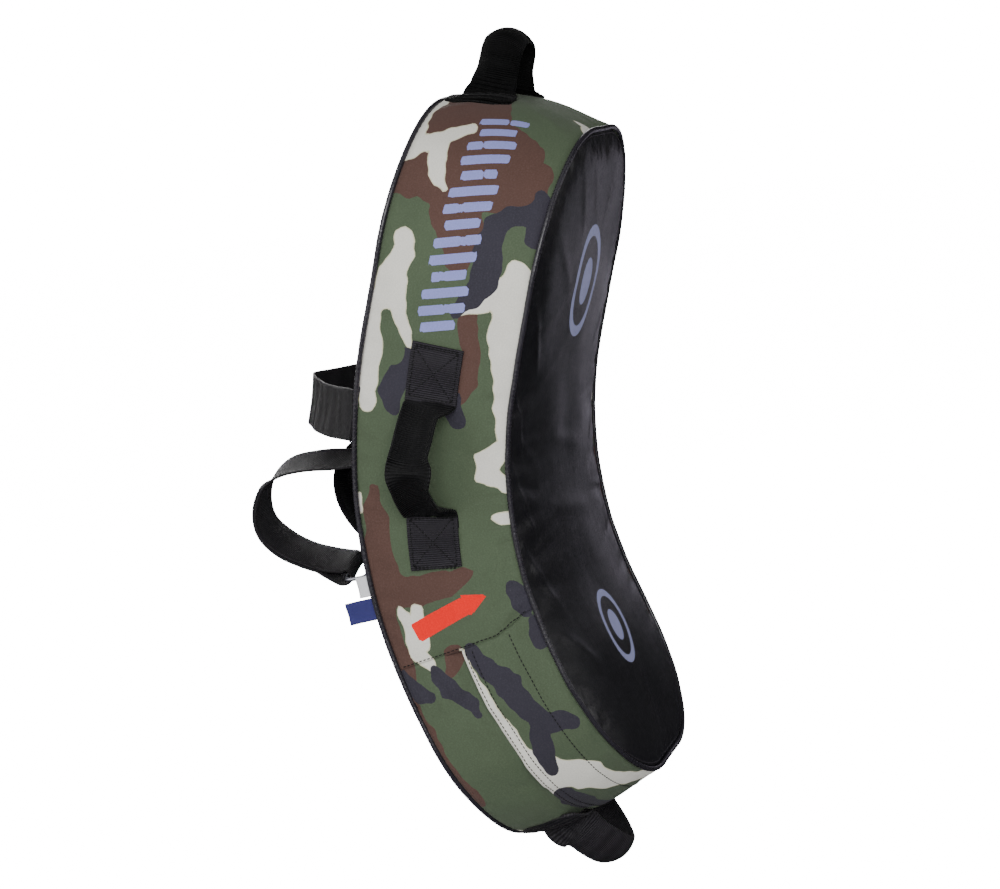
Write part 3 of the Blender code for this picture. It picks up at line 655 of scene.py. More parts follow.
def camo_fields(q, n):
    """Distance fields of the print at design coordinates q, n."""
    near = q < (Q2 + CX + 0.10)
    lower = q < -(Q2 + CX)
    qq = np.where(q > Q2 + CX + 0.10, FAR - q - 0.055, np.where(lower, -FAR - q + 0.047, q))
    nn = np.where((q > Q2 + CX + 0.10) | lower, -n, n)
    wq = qq + 0.0022 * field(qq, nn, 0.045, 5) + 0.0008 * field(qq, nn, 0.014, 6)
    wn = nn + 0.0022 * field(qq, nn, 0.045, 7) + 0.0008 * field(qq, nn, 0.014, 8)
    out = {k: strokes(wq, wn, CAMO[k]) for k in ("brown", "cream", "charcoal")}
    gap = strokes(wq, wn, CAMO["green"])
    for k in ("brown", "cream", "charcoal"):
        out[k] = np.minimum(out[k], -gap)
    out["bars"] = np.where(np.abs(q - 0.260) < 0.15, bars(q, n), -1.0)
    out["pennant"] = np.where(np.abs(q + 0.115) < 0.06, pennant(q, n), -1.0)
    return out


# ----------------------------------------------------------------------------
# Cover
# ----------------------------------------------------------------------------
SHEETS = {}


class Sheet:
    """A finished sheet: its grid and the design coordinates of each grid point."""

    def __init__(self, pos, a, b, wrap=False):
        self.pos, self.a, self.b, self.wrap = pos, a, b, wrap
        self.nor = grid_normals(pos, wrap)

    def at(self, i, j):
        """Position and normal at fractional grid indices."""
        I, J = self.a.shape
        i = np.clip(i, 0, I - 1.001)
        j = np.clip(j, 0, J - 1.001)
        i0, j0 = np.floor(i).astype(int), np.floor(j).astype(int)
        fi, fj = (i - i0)[:, None], (j - j0)[:, None]

        def lerp(g):
            return ((g[i0, j0] * (1 - fi) + g[i0 + 1, j0] * fi) * (1 - fj) + (g[i0, j0 + 1] * (1 - fi) + g[i0 + 1, j0 + 1] * fi) * fj)
        return lerp(self.pos), unit(lerp(self.nor))


def hem_line(n):
    """Where the upper gusset ends, rising towards the strike seam."""
    return HEM_S + 0.004 * smooth((n - 0.030) / 0.012) + 0.011 * smooth((n - 0.040) / 0.032)


def edge_dip(n, edge=0.0738):
    return -0.0024 * smooth((np.abs(n) - (edge - 0.0058)) / 0.0058)


def swell(q, n):
    """How far the side wall stands out of the plan outline, most at the top end."""
    s = plan(q)[1]
    shape = (1 - np.minimum(np.abs(n) / 0.0745, 1) ** 2) ** np.where(np.asarray(n) > 0, 2, 1)
    return (0.0030 + 0.0080 * smooth((s - 0.27) / 0.07) + 0.0040 * smooth((-s - 0.27) / 0.07)) * shape


def gusset_sheet(name, q0, q1, n0, n1, off, hem=True, step=0.0062, refine_by=2, pin_edges=("n0", "n1", "q0", "q1"),
                 grow=0.010, pressure=4.0, cap=0.0035, thick=0.0014, nodes=(), seed=1):
    I = int(abs(q1 - q0) / step) + 1
    J = int(abs(n1 - n0) / step) + 1
    u, v = np.meshgrid(np.linspace(0, 1, I), np.linspace(0, 1, J), indexing="ij")
    n = n0 + (n1 - n0) * v
    q = q0 + (q1 - q0) * u
    if hem:
        lift = hem_line(n) - HEM_S
        sgn = 1 if q1 > q0 else 1
        q = q + lift * (1 - smooth(u * abs(q1 - q0) / 0.06))
        q = q - (lift if q1 > q0 else -lift) * (smooth((u - 1) * abs(q1 - q0) / 0.06 + 1)) * (1 if q1 > q0 else 1)
    o = off(q, n)
    x, s = plan(q, o)
    pos = P(x, s, n)
    if q1 < q0:
        pos, q, n = pos[::-1], q[::-1], n[::-1]
    idx = np.arange(I * J).reshape(I, J)
    pin = np.zeros((I, J))
    ring = np.minimum(np.arange(J), 99)
    if "n0" in pin_edges:
        pin[:, 0] = 1
    if "n1" in pin_edges:
        pin[:, -1] = 1
    if "q0" in pin_edges:
        pin[0] = 1
    if "q1" in pin_edges:
        pin[-1] = 1
    nor = grid_normals(pos, False)
    outward = np.array([-1.0, 0, 0]) if name != "x" else None
    mid = pos[I // 4, J // 2]
    faces = grid_faces(idx)
    first = (nor[I // 2, J // 2] @ (pos[I // 2, J // 2] - P(0, float(np.sign(q.mean())) * 0.1, 0.0)))
    if first < 0:
        faces = faces[:, ::-1]
    settled = simulate(name, pos, idx, faces.tolist(), pin, grow=grow, pressure=pressure, cap=cap)
    # the fine surface: the settled folds, refined; the caller adds small puckers along the seams
    fine, fq, fn = refine([settled, q, n], refine_by, refine_by)
    sh = Sheet(fine, fq, fn)
    if first < 0:
        sh.nor = -sh.nor
    return sh, first < 0


def finish_sheet(name, sh, flipped, thick, mat, nodes, attrs=None, body="shield"):
    I, J = sh.a.shape
    inner = sh.pos - sh.nor * thick
    idx = np.arange(I * J).reshape(I, J)
    faces = shell_faces(idx, idx + I * J, False)
    if flipped:
        faces = faces[:, ::-1]
    uv = np.stack([sh.a, sh.b], -1).reshape(-1, 2)
    att = {}
    for k, v in (attrs or {}).items():
        att[k] = np.concatenate([v.ravel(), v.ravel()])
    SHEETS[name] = sh
    return make(name, np.concatenate([sh.pos.reshape(-1, 3), inner.reshape(-1, 3)]), faces, mat, np.concatenate([uv, uv]),
                att, body, nodes)


def pucker(sh, d_seam, along, amp=0.00035, pitch=0.0085, reach=0.012, seed=3):
    """Small gathers that a seam pulls into the cloth."""
    w = np.exp(-np.clip(d_seam, 0, None) / reach)
    wave = np.sin(2 * pi * along / pitch + 2.2 * field(along, d_seam, 0.05, seed)) * (0.6 + 0.4 * field(along, d_seam * 0, 0.07, seed + 1))
    sh.pos = sh.pos + sh.nor * (amp * w * wave)[..., None]
    sh.nor = grid_normals(sh.pos, sh.wrap) * np.sign(np.sum(grid_normals(sh.pos, sh.wrap) * sh.nor, -1, keepdims=True))


def ridges(sh, lines, gain=1.2):
    """Creases: (q0, n0, q1, n1, height, width) in millimetres, tapering at both ends."""
    add = 0.0
    for qa, na, qb, nb, h, w in lines:
        qa, na, qb, nb, h, w = (v / 1000 for v in (qa, na, qb, nb, h, w))
        lq, ln_ = qb - qa, nb - na
        t = ((sh.a - qa) * lq + (sh.b - na) * ln_) / (lq * lq + ln_ * ln_)
        tt = np.clip(t, 0, 1)
        d = np.hypot(sh.a - qa - tt * lq, sh.b - na - tt * ln_)
        add = add + h * np.sin(pi * np.clip(tt * 0.92 + 0.06, 0, 1)) ** 0.8 * np.exp(-(d / w) ** 2)
    sh.pos = sh.pos + sh.nor * (gain * add)[..., None]
    old = sh.nor
    sh.nor = grid_normals(sh.pos, sh.wrap)
    sh.nor *= np.sign(np.sum(sh.nor * old, -1, keepdims=True))


EDGE = 0.0738


def upper_off(q, n):
    return 0.0002 + swell(q, n) + edge_dip(n) + 0.0005 * field(q, n, 0.11, 11) * (1 - (n / EDGE) ** 2)


def flap_off(q, n):
    t = np.clip((n + 0.006) / (EDGE + 0.006), 0, 1)
    return 0.0004 + swell(q, n) + 0.0006 * np.sin(pi * t) + edge_dip(np.maximum(n, 0)) + 0.0005 * field(q, n, 0.06, 12) * (1 - t ** 3)


def lower_off(q, n):
    under = smooth((n + 0.022) / 0.012)
    loose = 0.0004 + 0.0012 * np.sin(pi * np.clip((n + EDGE) / (EDGE - 0.010), 0, 1)) + 0.0006 * field(q, n, 0.05, 13) * np.clip((n + EDGE) / 0.012, 0, 1)
    return swell(q, n) + loose * (1 - under) - 0.0042 * under + edge_dip(np.minimum(n, 0))


def build_cover():
    # upper gusset
    sh, fl = gusset_sheet("upper_gusset_cover", HEM_S, QMAX - HEM_S, -EDGE, EDGE, upper_off, grow=0.012, cap=0.0022)
    pucker(sh, EDGE - np.abs(sh.b), sh.a, 0.00030, 0.0095, 0.008)
    ridges(sh, [(-60, 60, -118, 44, 0.7, 5), (-70, 70, -128, 58, 0.6, 4), (-40, 66, -92, 30, 0.5, 7), (-120, 66, -142, 30, 0.6, 4),
                (-20, -70, -60, -40, 0.4, 6), (-100, 10, -140, -20, 0.4, 7), (230, 64, 260, 30, 0.4, 6), (300, -60, 280, -30, 0.4, 6),
                (380, 60, 405, 20, 0.6, 7), (370, -66, 395, -30, 0.6, 6), (120, 66, 90, 40, 0.35, 6),
                (-80, 70, -130, 70, 0.5, 3.5), (-96, 52, -138, 26, 0.5, 4), (-55, 20, -110, 34, 0.35, 6)], 2.2)
    finish_sheet("upper_gusset_cover", sh, fl, 0.0014, M["camo"], ["upper_gusset"], attrs=camo_fields(sh.a, sh.b))
    # closure flap
    low = -(QMAX + HEM_S)
    sh, fl = gusset_sheet("flap_cover", HEM_S + 0.001, low - 0.001, -0.0062, EDGE, flap_off, step=0.0056, pin_edges=("n1", "q0", "q1"),
                          grow=0.016, pressure=1.2, cap=0.0018)
    pucker(sh, EDGE - sh.b, sh.a, 0.0004, 0.011, 0.012, 21)
    pucker(sh, np.abs(sh.b + 0.0062), sh.a, 0.00022, 0.014, 0.01, 23)
    ridges(sh, [(-140, 66, -262, 58, 0.9, 4.5), (-142, 58, -240, 50, 0.9, 4), (-146, 50, -215, 40, 0.7, 4), (-150, 30, -190, 22, 0.5, 4),
                (-150, 12, -185, 5, 0.5, 4), (-190, 70, -250, 66, 0.6, 4), (-230, 62, -290, 64, 0.6, 5), (-300, 66, -330, 30, 0.4, 6),
                (-170, 70, -215, 52, 0.5, 3.5), (-255, 70, -300, 50, 0.5, 4)], 2.0)
    finish_sheet("flap_cover", sh, fl, 0.0012, M["camo"], ["closure_flap"], attrs=camo_fields(sh.a, sh.b))
    # lower gusset
    sh, fl = gusset_sheet("lower_gusset_cover", HEM_S + 0.001, low - 0.001, -EDGE, 0.040, lower_off, hem=False, step=0.0056,
                          grow=0.014, pressure=3.0, cap=0.0020)
    pucker(sh, EDGE + sh.b, sh.a, 0.0003, 0.010, 0.009, 31)
    ridges(sh, [(-150, -62, -200, -58, 0.9, 4), (-150, -50, -215, -40, 1.1, 4.5), (-150, -36, -200, -24, 1.1, 4), (-150, -24, -190, -14, 0.9, 3.5),
                (-152, -14, -180, -11, 0.6, 3), (-170, -70, -225, -60, 0.5, 5), (-230, -50, -300, -20, 0.4, 8)], 1.7)
    print_under = camo_fields(sh.a, sh.b)
    # the flap's print stops at the flap's own edge
    print_under["cream"] = np.where((sh.a < -0.150) & (sh.b > -0.030), -1.0, print_under["cream"])
    finish_sheet("lower_gusset_cover", sh, fl, 0.0012, M["camo"], ["lower_gusset"], attrs=print_under)


def panel(name, sign, mat, nodes, slot, crown, rise, attrs_of=None, step=0.0062, grow=0.006, cap=0.0035, pressure=4.0, seed=41, thick=0.0016):
    """A face panel as rings from the seam in to the centre line."""
    total = 2 * QMAX
    I = int(total / step / 4) * 4
    J = 30
    q = np.linspace(-QMAX, QMAX, I, endpoint=False)
    q = q + total / I * 0.0
    f = np.linspace(0, 1, J) ** 1.0
    x0, s0 = plan(q, PIPE_OFF - 0.0016)
    xs, ss = x0 * 0.0, s0 * 0.55
    X = x0[:, None] * (1 - f) + xs[:, None] * f
    S = s0[:, None] * (1 - f) + ss[:, None] * f
    D = np.hypot(X - x0[:, None], S - s0[:, None])
    # distance from the seam, measured square to it
    ax, as_ = np.abs(X) - CX, np.abs(S) - CS
    r = END_R + PIPE_OFF - 0.0016
    sd = np.where((ax > 0) & (as_ > 0), r - np.hypot(np.maximum(ax, 0), np.maximum(as_, 0)), np.minimum(r - ax, r - as_))
    sd = np.maximum(sd, 0)
    height = 0.0730 + rise * (1 - np.exp(-sd / 0.0085)) + crown * smooth(sd / 0.150)
    height = height + 0.0007 * field(X, S, 0.12, seed) * smooth(sd / 0.03)
    pos = P(X, S, sign * height)
    idx = np.arange(I * J).reshape(I, J)
    # join the two halves along the centre line
    key = {}
    for i in range(I):
        k = (round(float(S[i, -1]), 6),)
        idx[i, -1] = key.setdefault(k, idx[i, -1])
    faces = grid_faces(idx, True)
    if sign > 0:
        pass
    nor = grid_normals(pos, True)
    flipped = nor[I // 2 + 3, J // 2] @ np.array([0, -sign, 0]) < 0
    if flipped:
        faces = faces[:, ::-1]
    uniq, inv = np.unique(idx, return_inverse=True)
    cidx = inv.reshape(I, J)
    remap = dict(zip(uniq.tolist(), range(len(uniq))))
    cf = clean(np.vectorize(remap.get)(faces))
    pin = np.zeros((I, J))
    pin[:, 0] = 1
    settled = simulate(name, pos, cidx, cf, pin, grow=grow, pressure=pressure, cap=cap)
    fine, fX, fS, fD = refine([settled, X, S, sd], 2, 2, wrap=True)
    sh = Sheet(fine, fX, fS, True)
    if flipped:
        sh.nor = -sh.nor
    sh.nor[:, -1] = unit(P(fX[:, -1], fS[:, -1], sign * 0.08) - P(fX[:, -1], fS[:, -1], sign * 0.07))
    sh.d = fD
    return sh, flipped


def finish_panel(name, sh, flipped, thick, mat, nodes, attrs=None):
    I, J = sh.a.shape
    # weld the centre line
    idx = np.arange(I * J).reshape(I, J)
    key = {}
    for i in range(I):
        k = (round(float(sh.b[i, -1]), 5),)
        idx[i, -1] = key.setdefault(k, idx[i, -1])
    pos = sh.pos.copy()
    for i in range(I):
        pos[i, -1] = pos[idx[i, -1] // J, -1]
    inner = pos - sh.nor * thick
    for i in range(I):
        inner[i, -1] = inner[idx[i, -1] // J, -1]
    fo = grid_faces(idx, True)
    fi = grid_faces(idx + I * J, True, flip=True)
    a, b = np.vstack([idx, idx[:1]]), np.vstack([idx, idx[:1]]) + I * J
    rim = strip(b[:, 0], a[:, 0])
    faces = np.vstack([fo, fi, rim])
    if flipped:
        faces = faces[:, ::-1]
    uniq = np.unique(faces)
    remap = np.zeros(2 * I * J, int)
    remap[uniq] = np.arange(len(uniq))
    faces = clean(remap[faces])
    verts = np.concatenate([pos.reshape(-1, 3), inner.reshape(-1, 3)])[uniq]
    uv = np.stack([sh.a, sh.b], -1).reshape(-1, 2)
    uv = np.concatenate([uv, uv])[uniq]
    att = {}
    for k, v in (attrs or {}).items():
        att[k] = np.concatenate([v.ravel(), v.ravel()])[uniq]
    SHEETS[name] = sh
    return make(name, verts, faces, mat, uv, att, "shield", nodes)


def target(x, s, s0, a, b, ring):
    """Concentric aiming mark: an oval ring round a solid oval."""
    r = np.hypot(x / a, (s - s0) / b)
    k = min(a, b)
    outer = np.minimum((1 - r) * k, (r - (1 - ring)) * k)
    inner = (0.42 - r) * k
    cross = np.minimum(0.0032 - np.abs(x), (1 - r) * k)
    return np.maximum(outer, inner)


def build_panels():
    sh, fl = panel("strike_cover", 1, None, None, None, 0.0052, 0.0054)
    tot = 0.0
    # soft creases that run in from the seam
    along = np.arctan2(sh.b, sh.a)
    sh.pos = sh.pos + sh.nor * (0.00045 * np.exp(-sh.d / 0.014) * np.sin(sh.b / 0.0085 * 1.0 + 3 * field(sh.a, sh.b, 0.09, 51)))[..., None]
    ridges(sh, [(-168, 120, -140, 20, 0.9, 5), (-166, 30, -128, -70, 0.8, 5), (-165, -60, -120, -150, 0.8, 6), (-160, 200, -120, 120, 0.8, 6),
                (-150, -170, -90, -230, 0.7, 7), (-160, 60, -100, 10, 0.5, 7), (-60, 40, 60, 10, 0.5, 10), (-80, -40, 70, -70, 0.5, 11),
                (160, 60, 110, 0, 0.8, 6), (165, -40, 120, -120, 0.8, 6), (150, 180, 100, 120, 0.6, 7), (-130, 260, -60, 200, 0.5, 8),
                (-30, 320, 10, 250, 0.5, 7), (-20, -320, 20, -250, 0.5, 7), (-70, 310, -40, 250, 0.5, 7), (60, 300, 40, 250, 0.5, 7),
                (-150, 90, -20, 150, 0.5, 8), (-158, 10, -40, 70, 0.5, 8), (-150, -100, -50, -30, 0.4, 8), (-140, 160, -30, 210, 0.4, 8)], 1.6)
    mark = np.maximum(target(sh.a, sh.b, 0.201, 0.046, 0.056, 0.20), target(sh.a, sh.b, -0.208, 0.035, 0.043, 0.20))
    finish_panel("strike_cover", sh, fl, 0.0016, M["strike"], ["strike_panel"], {"mark": mark})
    sh, fl = panel("back_cover", -1, None, None, None, 0.0010, 0.0018, seed=61, grow=0.004, cap=0.0010, pressure=2.0)
    sh.pos = sh.pos + sh.nor * (0.0003 * np.exp(-sh.d / 0.012) * np.sin(sh.b / 0.0075 + 3 * field(sh.a, sh.b, 0.08, 62)))[..., None]
    finish_panel("back_cover", sh, fl, 0.0014, M["back"], ["back_panel"])


def build_piping():
    for name, node, sign in (("front_piping_cord", "front_piping", 1), ("back_piping_cord", "back_piping", -1)):
        I, K = 1240, 14
        q = np.linspace(-QMAX, QMAX, I, endpoint=False)
        waver = 0.00035 * field(q, q * 0, 0.09, 71 + sign)
        x, s = plan(q, PIPE_OFF + waver)
        nn = sign * PIPE_N + 0.0003 * field(q, q * 0, 0.07, 73 + sign)
        c = P(x, s, nn)
        x1, s1 = plan(q, PIPE_OFF + waver + 0.001)
        e1 = unit(P(x1, s1, nn) - c)
        e2 = unit(P(x, s, nn + 0.001) - c)
        r = 0.0025 * (1 + 0.035 * np.sin(2 * pi * q / (2 * QMAX / 372)) + 0.03 * field(q, q * 0, 0.02, 75))
        th = np.linspace(0, 2 * pi, K, endpoint=False)
        pos = c[:, None] + r[:, None, None] * (np.cos(th)[None, :, None] * e1[:, None] + np.sin(th)[None, :, None] * e2[:, None])
        idx = np.arange(I * K).reshape(I, K)
        both = np.hstack([idx, idx[:, :1]])
        faces = grid_faces(both, True)
        v = np.cross(pos[5, 1] - pos[5, 0], pos[6, 0] - pos[5, 0])
        if v @ (pos[5, 0] - c[5]) > 0:
            faces = faces[:, ::-1]
        uv = np.stack([np.repeat(q[:, None], K, 1), np.repeat(th[None] * 0.003, I, 0)], -1).reshape(-1, 2)
        make(name, pos.reshape(-1, 3), faces, M["piping"], uv, None, "shield", [node])


# ----------------------------------------------------------------------------
# Stitches
# ----------------------------------------------------------------------------
def stitches(name, runs, mat, length=0.0034, gap=0.0009, radius=0.00048, body="shield", sink=0.10):
    """One closed little bar per stitch, along runs of (points, normals)."""
    V, F = [], []
    base = 0
    th = np.linspace(0, 2 * pi, 6, endpoint=False)
    for pts, nor in runs:
        pts, nor = np.asarray(pts, float), np.asarray(nor, float)
        seg = np.linalg.norm(np.diff(pts, axis=0), axis=1)
        L = np.concatenate([[0], np.cumsum(seg)])
        if L[-1] < length:
            continue
        count = max(1, int((L[-1] + gap) / (length + gap)))
        mid = (np.arange(count) + 0.5) * (L[-1] / count)
        half = length / 2

        def at(d, g):
            return np.stack([np.interp(d, L, g[:, k]) for k in range(3)], -1)
        a, b, c, n = at(mid - half, pts), at(mid + half, pts), at(mid, pts), unit(at(mid, nor))
        t = unit(b - a)
        w = unit(np.cross(t, n))
        n = unit(np.cross(w, t))
        for al, rr, hh in ((-1, 0.35, -0.35), (-0.62, 1, 0.05), (0.0, 1.1, sink), (0.62, 1, 0.05), (1, 0.35, -0.35)):
            cc = c + t * (al * half) + n * (hh * radius)
            ring = cc[:, None] + radius * rr * (np.cos(th)[None, :, None] * w[:, None] + 0.8 * np.sin(th)[None, :, None] * n[:, None])
            V.append(ring)
        block = np.stack(V[-5:], 1).reshape(-1, 3)
        del V[-5:]
        V.append(block)
        one = []
        for k in range(4):
            for m in range(6):
                m2 = (m + 1) % 6
                one.append([k * 6 + m, (k + 1) * 6 + m, (k + 1) * 6 + m2, k * 6 + m2])
        one = np.array(one)
        for i in range(count):
            F.extend((one + base + i * 30).tolist())
            F.append([base + i * 30 + m for m in range(6)])
            F.append([base + i * 30 + 24 + m for m in reversed(range(6))])
        base += count * 30
    verts = np.vstack(V)
    ob = make(name, verts, F, mat, None, None, None)
    me = ob.data
    # turn every bar the right way out
    import bmesh
    bm = bmesh.new()
    bm.from_mesh(me)
    bmesh.ops.recalc_face_normals(bm, faces=bm.faces[:])
    bm.to_mesh(me)
    bm.free()
    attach(ob, body)
    return ob


def run_on(sheet, qn, lift=0.0001):
    """A run of points on a gusset sheet through (q, n) knots in millimetres."""
    sh = SHEETS[sheet]
    k = np.array(qn, float) / 1000
    seg = np.concatenate([[0], np.cumsum(np.hypot(*np.diff(k, axis=0).T))])
    d = np.arange(0, seg[-1], 0.0015)
    q, n = np.interp(d, seg, k[:, 0]), np.interp(d, seg, k[:, 1])
    I, J = sh.a.shape
    col = sh.b[I // 2]
    j = np.interp(n, col, np.arange(J)) if col[-1] > col[0] else np.interp(-n, -col, np.arange(J))
    i = np.empty_like(j)
    for m in range(len(d)):
        jj = int(min(J - 1, max(0, round(j[m]))))
        row = sh.a[:, jj]
        i[m] = np.interp(q[m], row, np.arange(I)) if row[-1] > row[0] else np.interp(-q[m], -row, np.arange(I))
    pos, nor = sh.at(i, j)
    return pos + nor * lift, nor


def build_seams():
    low = -(QMAX + HEM_S) * 1000
    runs = []
    # two rows along the flap's hem, the tape's top row, and the row across the top
    runs.append(run_on("flap_cover", [(-153, -3.4), (low + 3, -3.4)]))
    runs.append(run_on("flap_cover", [(-153, 3.6), (low + 3, 3.6)]))
    runs.append(run_on("flap_cover", [(-150, 43), (-200, 45), (low + 40, 45), (low + 3, 43)]))
    stitches("flap_stitching", runs, M["thread"])
    runs = [run_on("upper_gusset_cover", [(-147.0, -68), (-147.0, 30), (-143, 42), (-133, 66)])]
    far = (QMAX + 0.147) * 1000
    runs.append(run_on("upper_gusset_cover", [(far, -68), (far, 30), (far - 4, 42), (far - 14, 66)]))
    stitches("hem_stitching", runs, M["thread"])
    # rows beside the piping, on the leather and on the cloth
    for tag, node, sign in (("strike_seam_stitching", "strike_cover", 1), ("back_seam_stitching", "back_cover", -1)):
        sh = SHEETS[node]
        I, J = sh.a.shape
        j = np.array([np.interp(0.0042, sh.d[i], np.arange(J)) for i in range(I)])
        pos, nor = sh.at(np.arange(I) * 0.9999, j)
        pos, nor = np.vstack([pos, pos[:1]]), np.vstack([nor, nor[:1]])
        stitches(tag, [(pos, nor)], M["thread_light"], length=0.0038, gap=0.0014, radius=0.00045)


# ----------------------------------------------------------------------------
# Webbing
# ----------------------------------------------------------------------------
def webbing(name, C, A, W, T=0.0024, curl=0.0, mat=None, rib=0.0020, amp=0.00016, cols=13, step=0.00050, gather=None,
            body=None, nodes=(), wobble=0.0003, seed=90, twist=0.0):
    """Webbing swept along C: A points across it, W is its flat width, curl the half angle its section bends through."""
    C, A = np.asarray(C, float), np.asarray(A, float)
    W = np.broadcast_to(np.asarray(W, float), (len(C),)).copy()
    curl = np.broadcast_to(np.asarray(curl, float), (len(C),)).copy()
    seg = np.concatenate([[0], np.cumsum(np.linalg.norm(np.diff(C, axis=0), axis=1))])
    L = np.arange(0, seg[-1], step)

    def rs(g):
        return np.stack([np.interp(L, seg, g[:, k]) for k in range(g.shape[1])], -1) if g.ndim > 1 else np.interp(L, seg, g)
    C, A, W, curl = rs(C), unit(rs(A)), rs(W), rs(curl)
    # smooth the path a little, so that the sampling doesn't show
    ker = np.hanning(17)
    ker /= ker.sum()
    pad = np.pad(C, ((8, 8), (0, 0)), mode="edge")
    sm = np.stack([np.convolve(pad[:, k], ker, "valid") for k in range(3)], -1)
    ends = smooth(np.minimum(np.arange(len(C)), np.arange(len(C))[::-1]) / 10.0)[:, None]
    C = C * (1 - ends) + sm * ends
    Tg = unit(np.gradient(C, axis=0))
    A = unit(A - Tg * np.sum(A * Tg, -1, keepdims=True))
    N = unit(np.cross(Tg, A))
    f = np.linspace(-1, 1, cols)
    hT = T / 2
    phis = np.radians([50, 0, -50])
    sf = np.concatenate([f, [1] * 3, f[::-1], [-1] * 3])
    sa = np.concatenate([f * 0, hT * np.cos(phis), f * 0, -hT * np.cos(phis)])
    sh_ = np.concatenate([f * 0 + hT, hT * np.sin(phis), f * 0 - hT, -hT * np.sin(phis)])
    ribs = 1 + (amp / hT) * np.cos(2 * pi * L / rib)
    flatw = (W / 2 - hT)
    c = np.maximum(curl, 1e-4)
    R = flatw / c
    ang = c[:, None] * sf[None]
    across = R[:, None] * np.sin(ang)
    drop = R[:, None] * (np.cos(ang) - 1)
    mid_drop = (R * (np.cos(c) - 1))[:, None] * 0.0
    selv = np.clip((np.abs(sf) - 0.86) / 0.14, 0, 1)[None]
    hh = sh_[None] * (ribs[:, None] * (1 - selv) + 1.0 * selv)
    wob = wobble * field(np.repeat(L[:, None], len(sf), 1), np.repeat(sf[None] * 0.02, len(L), 0), 0.05, seed)
    extra = 0.0
    if gather is not None:
        extra = gather(L[:, None] / seg[-1], sf[None], L[:, None], seg[-1])
    loc_a = across + (sa[None] * np.cos(ang) + hh * np.sin(ang))
    loc_n = drop - mid_drop + (hh * np.cos(ang) - sa[None] * np.sin(ang)) + wob + extra
    pos = C[:, None] + A[:, None] * loc_a[..., None] + N[:, None] * loc_n[..., None]
    I, K = pos.shape[:2]
    idx = np.arange(I * K).reshape(I, K)
    faces = grid_faces(np.hstack([idx, idx[:, :1]]))
    i = I // 2
    v = np.cross(pos[i + 1, 3] - pos[i, 3], pos[i, 4] - pos[i, 3])
    flip = v @ N[i] < 0
    if flip:
        faces = faces[:, ::-1]
    caps = [idx[0].tolist(), idx[-1].tolist()[::-1]]
    if flip:
        caps = [c_[::-1] for c_ in caps]
    faces = faces.tolist() + [caps[0], caps[1]]
    uv = np.stack([np.broadcast_to(sf[None], (I, K)) * (W[:, None] / 2), np.broadcast_to(L[:, None], (I, K))], -1).reshape(-1, 2)
    ob = make(name, pos.reshape(-1, 3), faces, mat or M["web"], uv, None, body, nodes)
    return ob, (C, A, N, L)


def box_x(centre, along, across, normal, length, width, inset=0.004):
    """Runs of a box stitched with a cross, on a flat patch."""
    a, b = length / 2 - inset, width / 2 - inset
    cs = [(-a, -b), (a, -b), (a, b), (-a, b), (-a, -b)]
    runs = []
    for (u0, v0), (u1, v1) in list(zip(cs[:-1], cs[1:])) + [((-a, -b), (a, b)), ((-a, b), (a, -b))]:
        k = np.linspace(0, 1, 30)[:, None]
        p = centre + along * (u0 + (u1 - u0) * k) + across * (v0 + (v1 - v0) * k)
        runs.append((p, np.repeat(normal[None], 30, 0)))
    return runs


def surface_point(sheet, q, n):
    p, nn = run_on(sheet, [(q * 1000, n * 1000), (q * 1000 + 3, n * 1000)], 0.0)
    return p[0], nn[0]


SIDE_TOP, SIDE_LOW = (0.0865, 0.1405), (-0.0735, -0.0195)


